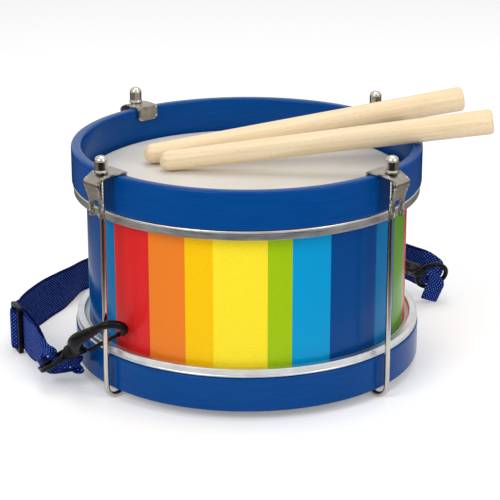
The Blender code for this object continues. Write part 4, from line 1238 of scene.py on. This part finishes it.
def claw(corner, turn):
    """One claw, pressed from sheet."""
    rows = smooth_line([[r / MM, h, w] for r, h, w in CLAW_STATIONS], 75)
    build = bmesh.new()
    grid = []
    gap = PRONG_GAP / 2
    for radius, drop, width in rows:
        half = max(width / 2, gap + LEAST_PRONG)
        across = (-half, -(half + gap) / 2, -gap, 0.0, gap, (half + gap) / 2, half)
        grid.append([build.verts.new((radius * MM, y * MM, claw_top + drop * MM)) for y in across])
    for (radius, drop, width), upper, lower in zip(rows, grid, grid[1:]):
        for column in range(6):
            between_prongs = drop < FORK_DROP and column in (2, 3)
            if not between_prongs:
                build.faces.new((upper[column], lower[column], lower[column + 1], upper[column + 1]))
    loose = [v for v in build.verts if not v.link_faces]
    bmesh.ops.delete(build, geom=loose, context="VERTS")
    made = finished_mesh(f"claw_{corner}_pressed", build)
    made.matrix_world = turn
    sheet = made.modifiers.new("sheet", "SOLIDIFY")
    sheet.thickness = CLAW_SHEET
    sheet.offset = -1.0
    sheet.use_even_offset = True
    edges = made.modifiers.new("rounded_edges", "BEVEL")
    edges.width = 0.28 * MM
    edges.segments = 3
    edges.limit_method = "ANGLE"
    edges.angle_limit = math.radians(50)
    return made


for corner, angle in ROD_ANGLES.items():
    made = claw(corner, Matrix.Rotation(math.radians(angle), 4, "Z"))
    dress(made, sheet_finish, "drum", "nickel_sheet", f"claw_{corner}")
print("claw top at", round(claw_top / MM, 2), "mm")

# %% [markdown]
# ## Cap nuts
#
# The rods end in tall domed nuts that are turned by hand. A turned outline with a softened shoulder
# is all that it takes, with a fine groove where the dome was formed and a small flared foot.

# %% Four cap nuts
NUT_RADIUS = 3.55 * MM
NUT_LENGTH = 9.5 * MM
DOME_RADIUS = 0.97 * NUT_RADIUS
DOME_HEIGHT = 2.4 * MM
NUT_FOOT = 0.3 * MM


def nut_outline():
    """The nut's section, from the top of the dome down to its base."""
    dome = NUT_LENGTH - DOME_HEIGHT
    points = [(DOME_RADIUS * x, dome + DOME_HEIGHT * y) for x, y in arc((0.0, 0.0), 1.0, 90, 0, 8)]
    points += [(DOME_RADIUS, dome - 0.2 * MM), (NUT_RADIUS, dome - 0.4 * MM), (NUT_RADIUS, dome - 0.7 * MM)]
    points += [(NUT_RADIUS, 1.9 * MM), (NUT_RADIUS, 1.7 * MM)]
    points += [(NUT_RADIUS + NUT_FOOT, 1.1 * MM), (NUT_RADIUS + NUT_FOOT, 0.2 * MM)]
    return points + [(NUT_RADIUS + NUT_FOOT / 3, 0.0), (0.0, 0.0)]


for corner, angle in ROD_ANGLES.items():
    made = turned(f"nut_{corner}_domed", nut_outline(), segments=48, closed=False)
    place = Matrix.Rotation(math.radians(angle), 4, "Z") @ Vector((ROD_CIRCLE, 0.0, 0.0))
    made.location = (place.x, place.y, nut_base)
    dress(made, wire_finish, f"nut_{corner}", "nickel_wire", f"cap_nut_{corner}")
print("nut top at", round((nut_base + NUT_LENGTH) / MM, 2), "mm")

# %% [markdown]
# ## Two beech sticks
#
# A child's drumstick is turned from beech and left bare: pale wood with long grain, a line every
# 2.4 mm or so, and short darker flecks 0.7 mm wide. The stick is made upright along its own Z and
# then laid down, and its material uses the stick's own coordinates, so the grain stays along it.

# %% Bare beech
BEECH_GRAIN = 2.38 * MM
BEECH_FLECK = 0.667 * MM


def bare_beech():
    """Sanded beech with long grain and short flecks."""
    made = new_material("sanded_beech")
    place = add_node(made, "TexCoord").outputs["Object"]
    long = add_node(made, "Mapping", {"Vector": place, "Scale": (1.0, 1.0, 0.035)})
    grain = add_node(made, "TexNoise", {
        "Vector": long, "Scale": 1 / BEECH_GRAIN, "Detail": 5.0, "Distortion": 0.8,
    })
    short = add_node(made, "Mapping", {"Vector": place, "Scale": (1.0, 1.0, 0.22)})
    flecks = add_node(made, "TexNoise", {"Vector": short, "Scale": 1 / BEECH_FLECK, "Detail": 1.0})
    wood = add_node(made, "ValToRGB", {"Fac": grain}, stops=[
        (0.28, "#E6CBA0"), (0.5, "#EED6AF"), (0.72, "#F4E1C2"),
    ])
    marks = add_node(made, "ValToRGB", {"Fac": flecks}, stops=[
        (0.30, "#C99C68"), (0.40, "#FFFFFF"), (1.0, "#FFFFFF"),
    ])
    colour = add_node(made, "Mix", {"Factor": 0.16, 6: wood, 7: marks},
                      data_type="RGBA", blend_type="MULTIPLY")
    bump = add_node(made, "Bump", {"Height": grain, "Strength": 0.25, "Distance": 0.08 * MM})
    shader = add_node(made, "BsdfPrincipled", {
        "Base Color": colour.outputs[2], "Roughness": 0.52, "Normal": bump, "IOR": 1.5,
    })
    add_node(made, "OutputMaterial", {"Surface": shader})
    return made


beech_finish = bare_beech()
print("finish:", beech_finish.name)

# %% The two sticks
STICK_LENGTH = 191.0 * MM
TIP_RADIUS = 5.8 * MM
BUTT_RADIUS = 7.15 * MM
BUTT_ROUNDING = 2.6 * MM
HOOP_EDGE = 0.8 * MM
# Where each stick's tip rests on the head, and its direction in degrees.
STICKS = {"back": (Vector((-54.1, 17.0)) * MM, 8.6), "front": (Vector((-44.3, 2.4)) * MM, -3.7)}


def stick_lift(tip, heading):
    """How steeply a stick rises from its tip on the head to its rest on the hoop's inner edge."""
    way = Vector((math.cos(math.radians(heading)), math.sin(math.radians(heading))))
    along = tip.dot(way)
    edge = HOOP_RADIUS - HOOP_WALL + HOOP_EDGE
    run = -along + math.sqrt(along * along - tip.length_squared + edge ** 2)
    radius_there = TIP_RADIUS + (BUTT_RADIUS - TIP_RADIUS) * run / STICK_LENGTH
    rise = hoop_heights["top"][1] - (batter_face + GAP + TIP_RADIUS)
    return math.atan2(rise, run) + math.asin((radius_there + GAP) / math.hypot(rise, run))


def stick_outline():
    """The stick's section along Z, from the butt's flat end to the round tip."""
    top = STICK_LENGTH - TIP_RADIUS
    corners = [(0.0, top), (BUTT_RADIUS, top), (TIP_RADIUS, 0.0)]
    butt = softened(corners, BUTT_ROUNDING, steps=8, closed=False)
    return butt + arc((0.0, 0.0), TIP_RADIUS, 0, -90, 12)[1:]


for name, (tip, heading) in STICKS.items():
    stick = turned(f"stick_{name}_turned", stick_outline(), segments=64, closed=False)
    lift = stick_lift(tip, heading)
    lay = Matrix.Rotation(math.radians(heading), 4, "Z") @ Matrix.Rotation(math.pi / 2 - lift, 4, "Y")
    tip_height = batter_face + GAP + TIP_RADIUS
    stick.matrix_world = Matrix.Translation((tip.x, tip.y, tip_height)) @ lay
    dress(stick, beech_finish, f"{name}_stick", "beech", f"drumstick_{name}")
print("sticks:", list(STICKS))

# %% [markdown]
# ## The studio
#
# The drum stands on white paper, here one big plane that takes its soft shadow. Lit paper is never
# quite white in a picture, so a photographer lights it a little more. Here the paper glows faintly
# instead, but only to camera and mirror rays, so that it throws no light up at the drum.

# %% The floor
FLOOR_HALF = 6.0
PAPER_GLOW = 0.22


def seen_or_mirrored(material):
    """1 for the rays of the camera and of mirrors, 0 for the rays that light other things."""
    path = add_node(material, "LightPath")
    return add_node(material, "Math", {
        0: path.outputs["Is Camera Ray"], 1: path.outputs["Is Glossy Ray"],
    }, operation="MAXIMUM")


def white_paper():
    """White paper that takes the shadow, and looks white to the camera."""
    made = new_material("white_paper")
    seen = seen_or_mirrored(made)
    paper = add_node(made, "BsdfDiffuse", {"Color": linear("#F4F4F4")})
    glow = add_node(made, "Math", {0: seen, 1: PAPER_GLOW}, operation="MULTIPLY")
    lift = add_node(made, "Emission", {"Color": (1.0, 1.0, 1.0, 1.0), "Strength": glow})
    both = add_node(made, "AddShader", {0: paper, 1: lift})
    add_node(made, "OutputMaterial", {"Surface": both})
    return made


floor_mesh = bpy.data.meshes.new("studio_floor")
floor_corners = [
    (x * FLOOR_HALF, y * FLOOR_HALF, floor_height) for x, y in ((-1, -1), (1, -1), (1, 1), (-1, 1))
]
floor_mesh.from_pydata(floor_corners, [], [(0, 1, 2, 3)])
floor = bpy.data.objects.new("studio_floor", floor_mesh)
floor.data.materials.append(white_paper())
bpy.context.scene.collection.objects.link(floor)
print("floor laid at", round(floor_height / MM, 2), "mm")

# %% [markdown]
# ## Dark flags for the metal
#
# Bright plating is a mirror, and a mirror in an all-white studio looks like flat grey paint. A
# photographer lays black card just outside the picture, so that the metal gets its dark lines and
# looks round. Here a wide ring of dark card lies on the table around the drum. Only mirror rays
# see it: it is hidden from the camera and casts no shadow.

# %% A ring of dark card
FLAG_NEAR = 0.2
FLAG_BLACK = 0.32
FLAG_FAR = 2.4


def dark_card():
    """Matt card: light grey near the drum and at its sides, black further out in front and behind."""
    made = new_material("matt_black_card")
    place = add_node(made, "TexCoord").outputs["Object"]
    reach = add_node(made, "VectorMath", {0: place}, operation="LENGTH")
    share = add_node(made, "MapRange", {
        "Value": reach.outputs["Value"], "From Min": FLAG_NEAR, "From Max": FLAG_BLACK,
        "To Min": 0.0, "To Max": 1.0,
    })
    parts = add_node(made, "SeparateXYZ", {"Vector": place})
    ahead = add_node(made, "Math", {0: parts.outputs["Y"], 1: reach.outputs["Value"]},
                     operation="DIVIDE")
    facing = add_node(made, "Math", {0: ahead}, operation="ABSOLUTE")
    depth = add_node(made, "MapRange", {
        "Value": facing, "From Min": 0.5, "From Max": 0.85, "To Min": 0.55, "To Max": 1.0,
    })
    black = add_node(made, "Math", {0: share, 1: depth}, operation="MULTIPLY")
    colour = add_node(made, "ValToRGB", {"Fac": black}, stops=[
        (0.0, "#C8C4C0"), (0.45, "#8F867C"), (1.0, "#1E1B19"),
    ])
    shader = add_node(made, "BsdfDiffuse", {"Color": colour})
    add_node(made, "OutputMaterial", {"Surface": shader})
    return made


build = bmesh.new()
near, far = [
    [build.verts.new((x, y, floor_height + 1.0 * MM)) for x, y in arc((0.0, 0.0), radius, 0, 360, 96)[:-1]]
    for radius in (FLAG_NEAR, FLAG_FAR)
]
for k, corner in enumerate(near):
    after = (k + 1) % len(near)
    build.faces.new((corner, far[k], far[after], near[after]))
card = finished_mesh("dark_flag", build)
card.data.materials.append(dark_card())
card.visible_camera = False
card.visible_diffuse = False
card.visible_shadow = False
card.visible_transmission = False
print("dark card laid from", FLAG_NEAR, "to", FLAG_FAR, "m")

# %% [markdown]
# ## Sky and lamps
#
# Three large square softboxes light the drum from the left, the right and above. A pale sky fills
# the shadows: the camera and mirrors see it nearly white, but it gives only half that light, because
# a full white sky would wash out the soft shadow and the shading on the stripes.

# %% The world
SKY_LIGHT = 0.5
SKY_SEEN = 0.95
world = bpy.data.worlds.new("white_studio")
bpy.context.scene.world = world
world.use_nodes = True
world.node_tree.nodes.clear()
strength = add_node(world, "MapRange", {
    "Value": seen_or_mirrored(world), "From Min": 0.0, "From Max": 1.0,
    "To Min": SKY_LIGHT, "To Max": SKY_SEEN,
})
sky = add_node(world, "Background", {"Color": (1.0, 1.0, 1.0, 1.0), "Strength": strength})
add_node(world, "OutputWorld", {"Surface": sky})
print("sky strength:", SKY_LIGHT, "as light and", SKY_SEEN, "as seen")

# %% The lamps
LAMP_AIM = Vector((0.0, 0.0, 0.03))
# Each lamp's place and size in metres, and its power in watts.
SOFTBOXES = {
    "softbox_left": ((-0.9, -1.1, 1.0), (0.8, 0.8), 11.0),
    "softbox_right": ((1.1, -0.9, 0.8), (0.6, 0.9), 6.0),
    "softbox_above": ((0.1, 0.3, 1.4), (1.0, 1.0), 7.0),
}
for name, (place, size, watts) in SOFTBOXES.items():
    lamp_data = bpy.data.lights.new(name, "AREA")
    lamp_data.shape = "RECTANGLE"
    lamp_data.size, lamp_data.size_y = size
    lamp_data.energy = watts
    lamp = bpy.data.objects.new(name, lamp_data)
    lamp.location = place
    lamp.rotation_euler = (LAMP_AIM - Vector(place)).to_track_quat("-Z", "Y").to_euler()
    bpy.context.scene.collection.objects.link(lamp)
bpy.context.scene.view_settings.view_transform = "Standard"
print("softboxes:", list(SOFTBOXES))
